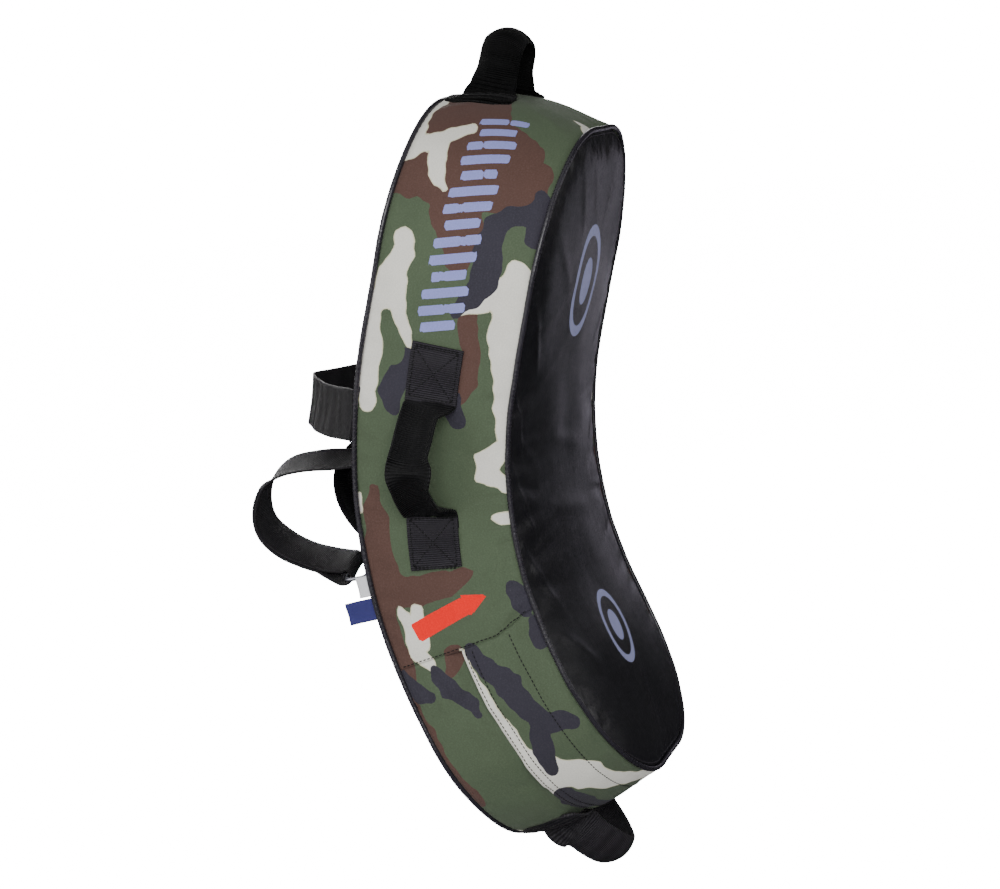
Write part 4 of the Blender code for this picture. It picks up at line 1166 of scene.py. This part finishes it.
def build_side_handles():
    for tag, side in (("left", -1), ("right", 1)):
        for end, (s0, s1), dirn in (("top", SIDE_TOP, 1), ("bottom", SIDE_LOW, -1)):
            q0 = (s0 if side < 0 else QMAX - s0)
            q1 = (s1 if side < 0 else QMAX - s1)
            pos, nor = run_on("upper_gusset_cover", [(q0 * 1000, 0), (q1 * 1000, 0)] if q1 > q0 else [(q1 * 1000, 0), (q0 * 1000, 0)])
            if q1 < q0:
                pos, nor = pos[::-1], nor[::-1]
            nrm = unit(nor.mean(0))
            pos = pos + nor * 0.0014
            if dirn < 0:
                down = np.linspace(1, 0, len(pos))[:, None]
                pos = pos + down * (frame_at(s0)[1] * 0.0045 + frame_at(s0)[0] * 0.0040)
            al = unit(pos[-1] - pos[0])
            acr = unit(np.cross(nrm, al))
            webbing(f"{tag}_handle_{end}_patch_web", pos, np.repeat(acr[None], len(pos), 0), 0.050, 0.0024, 0.02, M["web"],
                    rib=0.0021, amp=0.00026, cols=15, body="shield", nodes=[f"{tag}_handle_{end}_patch"], wobble=0.0002,
                    seed=101 + side + dirn)
            cen = pos[len(pos) // 2] + nrm * 0.0013
            runs = box_x(cen, al, acr, nrm, s1 - s0, 0.050)
            edge = s1 - s0
            for extra in (0.0022, ):
                a = edge / 2 - extra
                k = np.linspace(-0.021, 0.021, 30)[:, None]
                sign = 1 if dirn > 0 else -1
                runs.append((cen + al * (sign * a) + acr * k, np.repeat(nrm[None], 30, 0)))
            stitches(f"{tag}_handle_{end}_stitches", runs, M["thread"], length=0.0028, gap=0.0010, radius=0.0005, sink=0.5)
        # the grip: bulging from under one patch to the other, with a soft crease
        knots = [(0.0960, 0.0000), (0.0900, 0.0001), (0.0862, 0.0022), (0.0815, 0.0080), (0.0700, 0.0160), (0.0560, 0.0235),
                 (0.0420, 0.0310), (0.0330, 0.0365), (0.0278, 0.0398), (0.0225, 0.0388), (0.0130, 0.0310), (0.0030, 0.0225),
                 (-0.0070, 0.0140), (-0.0142, 0.0072), (-0.0188, 0.0026), (-0.0230, 0.0001), (-0.0340, 0.0000)]
        path = spline(knots, 10)
        lean = math.radians(10)
        C, A = [], []
        for s, h in path:
            al, ou = frame_at(s)
            base = P(side * (WIDTH / 2 + 0.0030), s, 0.0)
            out = np.array([side, 0, 0])
            k = float(smooth((h - 0.004) / 0.012))
            d = out * math.cos(lean * k) + ou * math.sin(lean * k)
            C.append(base + d * h)
            A.append(unit(ou * math.cos(lean * k) - out * math.sin(lean * k)) * (1 if side < 0 else -1))
        hgt = path[:, 1]
        crease = np.exp(-((path[:, 0] - 0.0270) / 0.0060) ** 2)
        curl = 1.10 * smooth((hgt - 0.004) / 0.012) * (1 - 0.66 * crease) + 0.02
        width = 0.0495 + 0 * hgt

        def gather(u, f, L, tot):
            near = np.exp(-np.minimum(L, tot - L) / 0.016)
            crest = np.exp(-((L - 0.487 * tot) / 0.0032) ** 2)
            return 0.0006 * near * smooth(np.minimum(L, tot - L) / 0.012) * np.cos(3.2 * pi * f) + 0.0004 * np.cos(2 * pi * L / 0.037) * np.cos(pi * f) + 0.0016 * crest * (1 - 0.5 * f * f)
        ob, _ = webbing(f"{tag}_handle_grip_web", C, A, width, 0.0026, curl, M["grip"], rib=0.0021, amp=0.00010, cols=19,
                        gather=gather, wobble=0.0009, seed=111 + side, nodes=[f"{tag}_handle_grip"], step=0.0006)
        blend_up(ob,
                 None)


def blend_up(ob, base=None):
    """Bakes the object's placement into its mesh; the sewn ends are not split from the rest."""
    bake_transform(ob)


def q_of_x(x):
    """Distance along the outline at x on the end wall."""
    x = np.asarray(x, float)
    left = Q1 + END_R * np.arccos(np.clip((-x - CX) / END_R, 0, 1))
    right = Q3 + END_R * np.arcsin(np.clip((x - CX) / END_R, 0, 1))
    return np.where(x < -CX, left, np.where(x > CX, right, Q2 + CX + x))


def build_end_handles():
    for tag, top in (("top", True), ("bottom", False)):
        sg = 1 if top else -1
        nc, lean = (-0.0300, 0.0) if top else (-0.0390, math.radians(16))
        bulge = 0.0110 if top else 0.0070
        off = upper_off if top else lower_off
        rest = float(off(sg * (Q2 + CX), nc))
        slope = -2 * bulge * nc / 0.0745 ** 2
        r = END_R + rest + (0.0040 if top else 0.0027)
        if top:
            th = [76.6, 79.4, 82.4, 85.2, 87.8]
            knots = [(-(CX + r * math.cos(math.radians(a))), CS + r * math.sin(math.radians(a)), 0) for a in th]
            knots += [(-0.0400, 0.3640, 1), (-0.0386, 0.3690, 1), (-0.0382, 0.3790, 1), (-0.0376, 0.3940, 1), (-0.0345, 0.4085, 1),
                      (-0.0235, 0.4205, 1), (-0.0090, 0.4250, 1), (0.0, 0.4256, 1)]
        else:
            th = [63.0, 67.0, 71.0, 75.0, 79.0, 81.6, 84.4, 87.2]
            knots = [(-(CX + r * math.cos(math.radians(a))), CS + r * math.sin(math.radians(a)), 0) for a in th]
            knots += [(-0.0412, 0.3600, 1), (-0.0406, 0.3650, 1), (-0.0385, 0.3760, 1), (-0.0318, 0.3960, 1), (-0.0205, 0.4118, 1),
                      (-0.0088, 0.4212, 1), (-0.0028, 0.4238, 1), (0.0, 0.4240, 1)]
        full = knots + [(-x, s, k) for x, s, k in reversed(knots[:-1])]
        path = spline(full, 10)
        al, ou = frame_at(sg * LENGTH / 2)
        base = P(0, sg * LENGTH / 2, nc)
        up = al * sg
        C, A = [], []
        for x, s, k in path:
            h = s - LENGTH / 2
            kk = float(smooth((h - rest - 0.004) / 0.016))
            d = up * math.cos(lean * kk) - ou * math.sin(lean * kk)
            shift = 0.0
            C.append(base + shift + np.array([x, 0, 0]) + (up * rest + d * (h - rest) if h > rest else up * h))
            seat = unit(ou - up * slope)
            A.append(unit(seat * (1 - kk) + (ou * math.cos(lean) + up * math.sin(lean)) * kk) * sg)
        C, A = np.array(C), np.array(A)
        h = path[:, 1] - LENGTH / 2 - rest
        rise = smooth((h - 0.003) / 0.022)
        run = np.concatenate([[0], np.cumsum(np.linalg.norm(np.diff(C, axis=0), axis=1))])
        run = np.minimum(run, run[-1] - run)
        width = (0.0570 - 0.0110 * smooth((h - 0.0005) / 0.012)) if top else (0.0585 - 0.0105 * rise)
        width = width * (1 - 0.30 * (1 - smooth(run / 0.009)) ** 2)
        curl = 0.01 + (0.86 if top else 0.62) * smooth((h - 0.004) / 0.026)
        sag = bulge / 0.0745 ** 2 * 0.029 ** 2

        def gather(u, f, L, tot, top=top, sag=sag):
            d = np.minimum(L, tot - L)
            lap = 0.004 if top else 0.036
            seated = 1 - smooth((d - 0.020 - lap) / 0.010)
            near = np.exp(-((d - 0.034 - lap) / 0.012) ** 2)
            rows = 0.00045 * np.exp(-((d - 0.040) / 0.008) ** 4) * np.cos(2 * pi * L / 0.0036) * (1 - f ** 4) if top else 0.0
            return rows - sag * f * f * seated + (0.0006 if top else 0.0008) * near * np.cos(4.4 * pi * f + 0.6) + 0.0005 * np.sin(2 * pi * L / 0.045 + 2 * f) * (1 - seated)
        # the top handle takes the darkened webbing copy (painted shade), the bottom handle the lightened one (painted
        # light)
        ob, _ = webbing(f"{tag}_handle_web", C, A, width, 0.0030, curl, M["end"] if top else M["end_painted_light"], rib=0.0023, amp=0.00016, cols=27,
                        gather=gather, wobble=0.0006 if top else 0.0011, seed=131 + sg, step=0.0007,
                        nodes=[f"{tag}_handle_left_end", f"{tag}_handle_right_end", f"{tag}_handle_grip"])
        blend_up(ob, base=base + up * rest)
        if top:
            for word, side in (("left", -1), ("right", 1)):
                rr = END_R + rest + 0.0016
                pad = np.array([base + ou * 0.0050 + np.array([side * (CX + rr * math.cos(math.radians(a))), 0, 0])
                                + up * (CS + rr * math.sin(math.radians(a)) - LENGTH / 2) for a in np.linspace(74.8, 88.5, 20)])
                padw = 0.0660 * (1 - 0.34 * (1 - smooth(np.arange(20) / 6.0)) ** 2)
                webbing(f"{tag}_handle_{word}_pad", pad, np.repeat(unit(ou - up * slope)[None] * -side, 20, 0), padw, 0.0022, 0.01, M["end"],
                        rib=0.0023, amp=0.00012, cols=21, gather=lambda u, f, L, tot, b=bulge: -b / 0.0745 ** 2 * 0.033 ** 2 * f * f,
                        body="shield", nodes=[f"{tag}_handle_{word}_end"], wobble=0.0002, seed=137 + side)
        runs = []
        for side in (-1, 1):
            for x in (0.0560, 0.0440):
                n = np.linspace(nc - 0.0255, nc + 0.0255, 30)
                q = sg * q_of_x(np.full(30, side * x))
                o = rest + slope * (n - nc) - bulge / 0.0745 ** 2 * (n - nc) ** 2 + 0.0045
                xx, ss = plan(q, o)
                x1, s1 = plan(q, o + 0.001)
                p = P(xx, ss, n)
                runs.append((p, unit(P(x1, s1, n) - p)))
        stitches(f"{tag}_handle_stitches", runs, M["thread"], length=0.0030, gap=0.0010, radius=0.0005)


def build_upper_strap():
    S0, DROOP, H, EX, AX = 0.065, 0.016, 0.1075, 0.164, 0.0085
    al, ou = frame_at(S0)
    u = np.linspace(-1, 1, 241)
    au = np.sqrt(u * u + 0.0006)
    rise = np.clip(1 - au ** 1.12, 0, None) * (1 - 0.06 * np.cos(u * pi / 2) ** 8)
    piv = back(0.0, S0, AX)
    C = piv + np.outer(u * EX, [1, 0, 0]) + np.outer((H - AX) * rise, ou) - np.outer(DROOP * (1 - u * u), al)
    # the sewn ends lie down towards the seam
    lead = []
    for x, h in ((-0.1730, 0.0026), (-0.1712, 0.0030), (-0.1690, 0.0042), (-0.1665, 0.0062)):
        lead.append(back(x, S0, h))
    C = np.vstack([lead, C, [p * np.array([-1, 1, 1]) for p in reversed(lead)]])
    C = np.vstack([C[:4], C[5:-5], C[-4:]])
    sway = np.linspace(-1, 1, len(C))
    A = unit(np.repeat(al[None], len(C), 0) + np.outer(0.12 * np.sin(pi * sway), ou))
    ob, _ = webbing("upper_arm_strap_web", C, A, 0.050, 0.0024, 0.10, M["strap"], rib=0.0017, amp=0.00006, cols=15,
                    wobble=0.0008, seed=141, nodes=["upper_arm_strap"], step=0.0006)
    blend_up(ob, base=back(0.0, S0, 0.0))
    for side, word in ((-1, "left"), (1, "right")):
        x = np.linspace(0.149, 0.1715, 12) * side
        pos = back(x, S0, 0.0024)
        webbing(f"upper_strap_{word}_tab", pos, np.repeat(al[None], 12, 0), 0.050, 0.0022, 0.01, M["web"], rib=0.0017,
                amp=0.0002, cols=13, body="shield", nodes=[f"upper_strap_{word}_end"], wobble=0.0001, seed=144)
        runs = box_x(back(side * 0.1595, S0, 0.0037), np.array([1.0, 0, 0]), al, ou, 0.020, 0.050, 0.003)
        stitches(f"upper_strap_{word}_stitches", runs, M["thread"], length=0.0026, gap=0.001, radius=0.0005)


ARM_X, TILT = -0.105, math.radians(14.5)
RING_S, RING_IN, RING_OUT, RING_WIRE = -0.0665, 0.0190, 0.0400, 0.0020
LOOP = [(0.0215, 0.0105), (0.0200, 0.022), (0.0185, 0.037), (0.0175, 0.066), (0.0125, 0.094), (0.0015, 0.1120),
        (-0.0135, 0.1200), (-0.0275, 0.1175), (-0.040, 0.102), (-0.050, 0.082), (-0.0565, 0.061), (-0.0600, 0.046)]


def slanted(s, lean=0.0):
    al, ou = frame_at(s)
    return unit(np.array([math.cos(TILT), 0, 0]) + al * math.sin(TILT) - ou * lean)


def shifted(path, d):
    t = unit(np.gradient(path, axis=0))
    return path + d * np.stack([t[:, 1], -t[:, 0]], -1)


def build_arm_strap():
    lead = [(0.0540, 0.0030), (0.0400, 0.0032), (0.0290, 0.0036), (0.0235, 0.0056)]
    main = spline(lead + LOOP, 10)
    r = 0.0058
    fold = np.array([(RING_S + r * math.cos(t), RING_OUT + 0.001 - r * math.sin(t)) for t in np.linspace(0, pi, 17)])
    ply = 0.0024 + 0.0018
    loop_only = spline(LOOP, 10)
    outer = shifted(loop_only, ply)[::-1]
    tail = outer[(outer[:, 1] > 0.066) & (outer[:, 0] < 0.002)]
    mid = spline([fold[-1], (-0.0712, 0.049), tail[0]], 8)[1:]
    path = np.vstack([main, fold[1:], mid, tail[1:]])
    C = np.array([back(ARM_X, s, h) for s, h in path])
    A = np.array([slanted(s, 0.02 * float(smooth((h - 0.03) / 0.06))) for s, h in path])
    A[:len(lead) * 10] = [unit(np.array([1.0, 0, 0]) * (1 - k) + slanted(s, 0.0) * k) for (s, h), k in
                          zip(path[:len(lead) * 10], smooth(np.linspace(0, 1, len(lead) * 10)))]
    ob, _ = webbing("arm_strap_web", C, A, 0.050, 0.0023, 0.12, M["strap"], rib=0.0017, amp=0.00013, cols=15, wobble=0.0005,
                    seed=151, nodes=["arm_strap"], step=0.0006)
    ou = frame_at(-0.02)[1]
    blend_up(ob, base=back(ARM_X, -0.0225, 0.0))
    # hook patch between the two plies of the folded end
    hp = shifted(loop_only, ply / 2)
    hp = hp[(hp[:, 1] > 0.070) & (hp[:, 0] < -0.020)]
    webbing("arm_strap_hook_web", [back(ARM_X, s, h) for s, h in hp], [slanted(s, 0.02 * float(smooth((h - 0.03) / 0.06))) for s, h in hp],
            0.042, 0.0010, 0.10, M["hook"], rib=0.0015, amp=0.00008, cols=9, body="arm_strap", nodes=["arm_strap_hook_patch"],
            wobble=0.0, seed=152, step=0.001)
    for name, node, s0, s1 in (("arm_strap_patch_web", "arm_strap_patch", 0.0245, 0.053), ("ring_tab_patch_web", "ring_tab_patch", -0.086, -0.0575)):
        s = np.linspace(s0, s1, 20)
        ou = frame_at((s0 + s1) / 2)[1]
        pos = back(ARM_X, s, 0.0026 if node == "ring_tab_patch" else 0.0046)
        if node == "arm_strap_patch":
            pos = back(ARM_X, s, 0.0055)
        webbing(name, pos, np.repeat([[1.0, 0, 0]], 20, 0), 0.050, 0.0022, 0.01, M["web"], rib=0.0019, amp=0.0002, cols=13, body="shield",
                nodes=[node], wobble=0.0001, seed=153)
        al = frame_at((s0 + s1) / 2)[0]
        h = 0.0039 if node == "ring_tab_patch" else 0.0068
        runs = box_x(back(ARM_X, (s0 + s1) / 2, h), al, np.array([1.0, 0, 0]), ou, s1 - s0, 0.050, 0.0035)
        stitches(node + "_stitches", runs, M["thread"], length=0.0026, gap=0.001, radius=0.0005)
    # tab round the ring
    bx = slanted(RING_S)
    tab = [(RING_S - 0.0042, 0.0030), (RING_S - 0.0037, 0.0075), (RING_S - 0.0036, 0.0140)]
    tab += [(RING_S - 0.0036 * math.cos(t), RING_IN + 0.0036 * math.sin(t)) for t in np.linspace(0, pi, 9)]
    tab += [(RING_S + 0.0036, 0.0140), (RING_S + 0.0037, 0.0075), (RING_S + 0.0042, 0.0030)]
    tab = spline(tab, 5)
    ob, _ = webbing("ring_tab_web", [back(ARM_X, s, h) for s, h in tab], np.repeat(bx[None], len(tab), 0), 0.024, 0.0016, 0.02, M["web"],
                    rib=0.0015, amp=0.0001, cols=9, nodes=["ring_tab"], wobble=0.0, seed=155, step=0.0004)
    blend_up(ob, base=back(ARM_X, RING_S, 0.0))
    # ring of bent wire
    half_w, half_h, cr = 0.0290, (RING_OUT - RING_IN) / 2, 0.0055
    ou = frame_at(RING_S)[1]
    c0 = back(ARM_X, RING_S, (RING_IN + RING_OUT) / 2)
    pts = []
    for qx, qh, a0 in ((1, 1, 0), (-1, 1, 90), (-1, -1, 180), (1, -1, 270)):
        for t in np.radians(a0 + np.linspace(0, 90, 10)):
            pts.append(c0 + bx * (qx * (half_w - cr) + cr * math.cos(t)) + ou * (qh * (half_h - cr) + cr * math.sin(t)))
    pts = np.array(pts)
    dense = []
    for a, b in zip(pts, np.roll(pts, -1, 0)):
        m = max(1, int(np.linalg.norm(b - a) / 0.0012))
        dense += [a + (b - a) * k / m for k in range(m)]
    pts = np.array(dense)
    tg = unit(np.roll(pts, -1, 0) - np.roll(pts, 1, 0))
    w = unit(np.cross(bx, ou))
    nn = np.cross(tg, w)
    th = np.linspace(0, 2 * pi, 16, endpoint=False)
    pos = pts[:, None] + RING_WIRE * (np.cos(th)[None, :, None] * nn[:, None] + np.sin(th)[None, :, None] * w)
    I, K = pos.shape[:2]
    idx = np.arange(I * K).reshape(I, K)
    faces = grid_faces(np.hstack([idx, idx[:, :1]]), True)
    v = np.cross(pos[4, 0] - pos[3, 0], pos[3, 1] - pos[3, 0])
    if v @ (pos[3, 0] - pts[3]) < 0:
        faces = faces[:, ::-1]
    make("strap_ring_wire", pos.reshape(-1, 3), faces, M["metal"], None, None, "ring", ["strap_ring"])


def build_hand_grip():
    X, TOP, LOW, PEAK = -0.040, 0.043, -0.062, 0.062
    knots = [(0.0560, 0.0030), (0.0480, 0.0032), (0.0420, 0.0046), (0.0372, 0.0095), (0.0295, 0.0225), (0.0190, 0.0375), (0.0070, 0.0475),
             (-0.0080, 0.0515), (-0.0240, 0.0485), (-0.0385, 0.0385), (-0.0500, 0.0245), (-0.0580, 0.0115), (-0.0625, 0.0052),
             (-0.0680, 0.0032), (-0.0760, 0.0030)]
    path = spline(knots, 10)
    C = np.array([back(X, s, h) for s, h in path])
    A = np.repeat([[1.0, 0, 0]], len(C), 0)
    h = path[:, 1]
    curl = 0.02 + 0.95 * smooth((h - 0.004) / 0.014)

    def gather(u, f, L, tot):
        near = np.exp(-np.minimum(L, tot - L) / 0.018)
        return 0.0006 * near * np.cos(3.2 * pi * f)
    ob, _ = webbing("hand_grip_web", C, A, 0.046, 0.0026, curl, M["grip"], rib=0.0021, amp=0.00012, cols=19, gather=gather,
                    wobble=0.0008, seed=161, nodes=["hand_grip"], step=0.0006)
    blend_up(ob, base=back(X, -0.0095, 0.0))
    for word, s0, s1 in (("top", TOP + 0.003, TOP + 0.033), ("bottom", LOW - 0.033, LOW - 0.003)):
        s = np.linspace(s0, s1, 20)
        al, ou = frame_at((s0 + s1) / 2)
        webbing(f"hand_grip_{word}_patch_web", back(X, s, 0.0052), np.repeat([[1.0, 0, 0]], 20, 0), 0.046, 0.0022, 0.01, M["web"], rib=0.0021,
                amp=0.0002, cols=13, body="shield", nodes=[f"hand_grip_{word}_patch"], wobble=0.0001, seed=163)
        runs = box_x(back(X, (s0 + s1) / 2, 0.0065), al, np.array([1.0, 0, 0]), ou, s1 - s0, 0.046, 0.0035)
        stitches(f"hand_grip_{word}_stitches", runs, M["thread"], length=0.0026, gap=0.001, radius=0.0005)


def build_tags():
    tx = -(WIDTH / 2 + PIPE_OFF)
    for name, node, s0, s1, reach, mat in (("white_label", "white_tag", -0.0660, -0.0835, 0.009, M["white"]),
                                           ("blue_label", "blue_tag", -0.0850, -0.1035, 0.026, M["blue"])):
        n0 = -(PIPE_N + 0.0022)
        a0, a1 = P(tx, s0, n0), P(tx, s1, n0)
        al = unit(a0 - a1)
        ou = np.cross([1.0, 0, 0], al)
        ou = ou if ou[1] > 0 else -ou
        I, J = 15, 25
        u, v = np.meshgrid(np.linspace(0, 1, I), np.linspace(0, 1, J), indexing="ij")
        L = float(np.linalg.norm(a1 - a0))
        bend = 0.0011 * np.sin(pi * v * 0.9) * (1 if name[0] == "w" else -1) + 0.0006 * np.sin(2.2 * pi * u + 0.6) * v
        pos = a0 + (a1 - a0) * u[..., None] + ou * (reach + 0.0018) * v[..., None] + np.array([-1.0, 0, 0]) * bend[..., None]
        nor = grid_normals(pos, False)
        if nor[7, 12][0] > 0:
            nor = -nor
            flip = True
        else:
            flip = False
        t = 0.0007
        idx = np.arange(I * J).reshape(I, J)
        faces = shell_faces(idx, idx + I * J, False)
        if flip:
            faces = faces[:, ::-1]
        hem = np.minimum(np.minimum(u, 1 - u) * L, (1 - v) * reach)
        uv = np.stack([u * L, v * reach], -1).reshape(-1, 2)
        make(name, np.concatenate([(pos + nor * t / 2).reshape(-1, 3), (pos - nor * t / 2).reshape(-1, 3)]), faces, mat,
             np.concatenate([uv, uv]), {"hem": np.concatenate([hem.ravel(), hem.ravel()])}, node, [node])


build_cover()
build_panels()
build_piping()
build_seams()
build_side_handles()
build_end_handles()
build_upper_strap()
build_arm_strap()
build_hand_grip()
build_tags()

# CAD pieces that stay inside the cover keep their shape and get a finish
for node, mat in (("core_foam", "foam"), ("strike_foam", "foam2"), ("back_foam", "foam3"), ("flap_hook_tape", "hook"), ("gusset_loop_tape", "loop")):
    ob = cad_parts[node]
    ob.data.materials.clear()
    ob.data.materials.append(M[mat])

# ----------------------------------------------------------------------------
# Floor, backdrop, light and camera
# ----------------------------------------------------------------------------
vis_lo, vis_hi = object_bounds()
me = bpy.data.meshes.new("studio_floor")
R = 14.0
ring = [(R * math.cos(t), R * math.sin(t), 0.0) for t in np.linspace(0, 2 * pi, 64, endpoint=False)]
me.from_pydata(ring, [], [list(range(64))])
g = Nodes("pale_floor")
lp = g.add("ShaderNodeLightPath")
diff = g.add("ShaderNodeBsdfDiffuse", {"Color": g.mix(lp.outputs["Is Glossy Ray"], (0.86, 0.86, 0.87, 1), (0.04, 0.04, 0.045, 1))})
emit = g.add("ShaderNodeEmission", {"Color": (1, 1, 1, 1), "Strength": g.math("MULTIPLY", lp.outputs["Is Camera Ray"], 16.0)})
addn = g.add("ShaderNodeAddShader")
g.t.links.new(diff.outputs[0], addn.inputs[0])
g.t.links.new(emit.outputs[0], addn.inputs[1])
g.t.links.new(addn.outputs[0], g.out.inputs[0])
me.materials.append(g.m)
floor = bpy.data.objects.new("studio_floor", me)
floor.location = (0, 0, vis_lo.z - 0.002)
scene.collection.objects.link(floor)
floor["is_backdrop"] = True

world = bpy.data.worlds.new("studio")
scene.world = world
world.use_nodes = True
nt = world.node_tree
nt.nodes.clear()
wo = nt.nodes.new("ShaderNodeOutputWorld")
lpn = nt.nodes.new("ShaderNodeLightPath")
bg_cam = nt.nodes.new("ShaderNodeBackground")
bg_cam.inputs[0].default_value = (1, 1, 1, 1)
bg_cam.inputs[1].default_value = 16.6
bg_env = nt.nodes.new("ShaderNodeBackground")
tc = nt.nodes.new("ShaderNodeTexCoord")
dot = nt.nodes.new("ShaderNodeVectorMath")
dot.operation = "DOT_PRODUCT"
nt.links.new(tc.outputs["Generated"], dot.inputs[0])
dot.inputs[1].default_value = Vector((-0.93, 0.18, 0.10)).normalized()
mr = nt.nodes.new("ShaderNodeMapRange")
nt.links.new(dot.outputs["Value"], mr.inputs["Value"])
mr.inputs["From Min"].default_value = -0.35
mr.inputs["From Max"].default_value = 1.0
mr.inputs["To Min"].default_value = 0.02
mr.inputs["To Max"].default_value = 1.00
nt.links.new(mr.outputs[0], bg_env.inputs[1])
mixs = nt.nodes.new("ShaderNodeMixShader")
nt.links.new(lpn.outputs["Is Camera Ray"], mixs.inputs[0])
nt.links.new(bg_env.outputs[0], mixs.inputs[1])
nt.links.new(bg_cam.outputs[0], mixs.inputs[2])
nt.links.new(mixs.outputs[0], wo.inputs[0])


def area(name, loc, aim, size, power, colour=(1, 1, 1)):
    li = bpy.data.lights.new(name, "AREA")
    li.shape = "RECTANGLE"
    li.size, li.size_y = size
    li.energy = power
    li.color = colour
    ob = bpy.data.objects.new(name, li)
    ob.location = loc
    ob.rotation_euler = (Vector(aim) - Vector(loc)).to_track_quat("-Z", "Y").to_euler()
    ob.visible_camera = False
    scene.collection.objects.link(ob)
    return ob


area("key", (-2.35, -0.7, 0.95), (0, 0, 0), (1.6, 1.6), 50)
area("fill", (-2.0, 1.6, 0.6), (0, 0, 0), (1.4, 1.8), 12)
area("strip", (1.45, -0.45, 0.0), (0, -0.1, 0.1), (0.24, 0.42), 0.25, (1.0, 0.93, 1.12))
area("strip_low", (1.45, -0.15, -0.16), (0, -0.1, 0.15), (0.22, 0.30), 0.12, (1.0, 0.93, 1.12))
area("top", (0.2, -0.4, 2.2), (0, 0, 0.1), (1.2, 1.2), 1.5)
area("far_side", (2.2, 1.0, 0.7), (0, 0, 0), (1.4, 1.4), 34)
area("rear", (0.9, 2.4, 0.9), (0, 0, 0), (1.2, 1.2), 9)
area("front", (0.9, -2.5, 0.5), (0, 0, 0), (1.0, 1.0), 7)

cam_data = bpy.data.cameras.new("camera")
cam_data.lens = 93.6
cam_data.sensor_width = 36.0
cam_data.clip_start, cam_data.clip_end = 0.05, 60.0
cam = bpy.data.objects.new("camera", cam_data)
right, up, view = Vector((0.25964, -0.95875, -0.11571)), Vector((0.16218, -0.07482, 0.98392)), Vector((0.95199, 0.27423, -0.13606))
view.normalize()
right = (right - view * right.dot(view)).normalized()
up = right.cross(view)
mtx = Matrix((( right.x, up.x, -view.x, -2.4554), (right.y, up.y, -view.y, -0.7281 + PLACE_Y), (right.z, up.z, -view.z, 0.3670 + PLACE_Z), (0, 0, 0, 1)))
cam.matrix_world = mtx
scene.collection.objects.link(cam)
scene.camera = cam

vis_lo, vis_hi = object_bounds()
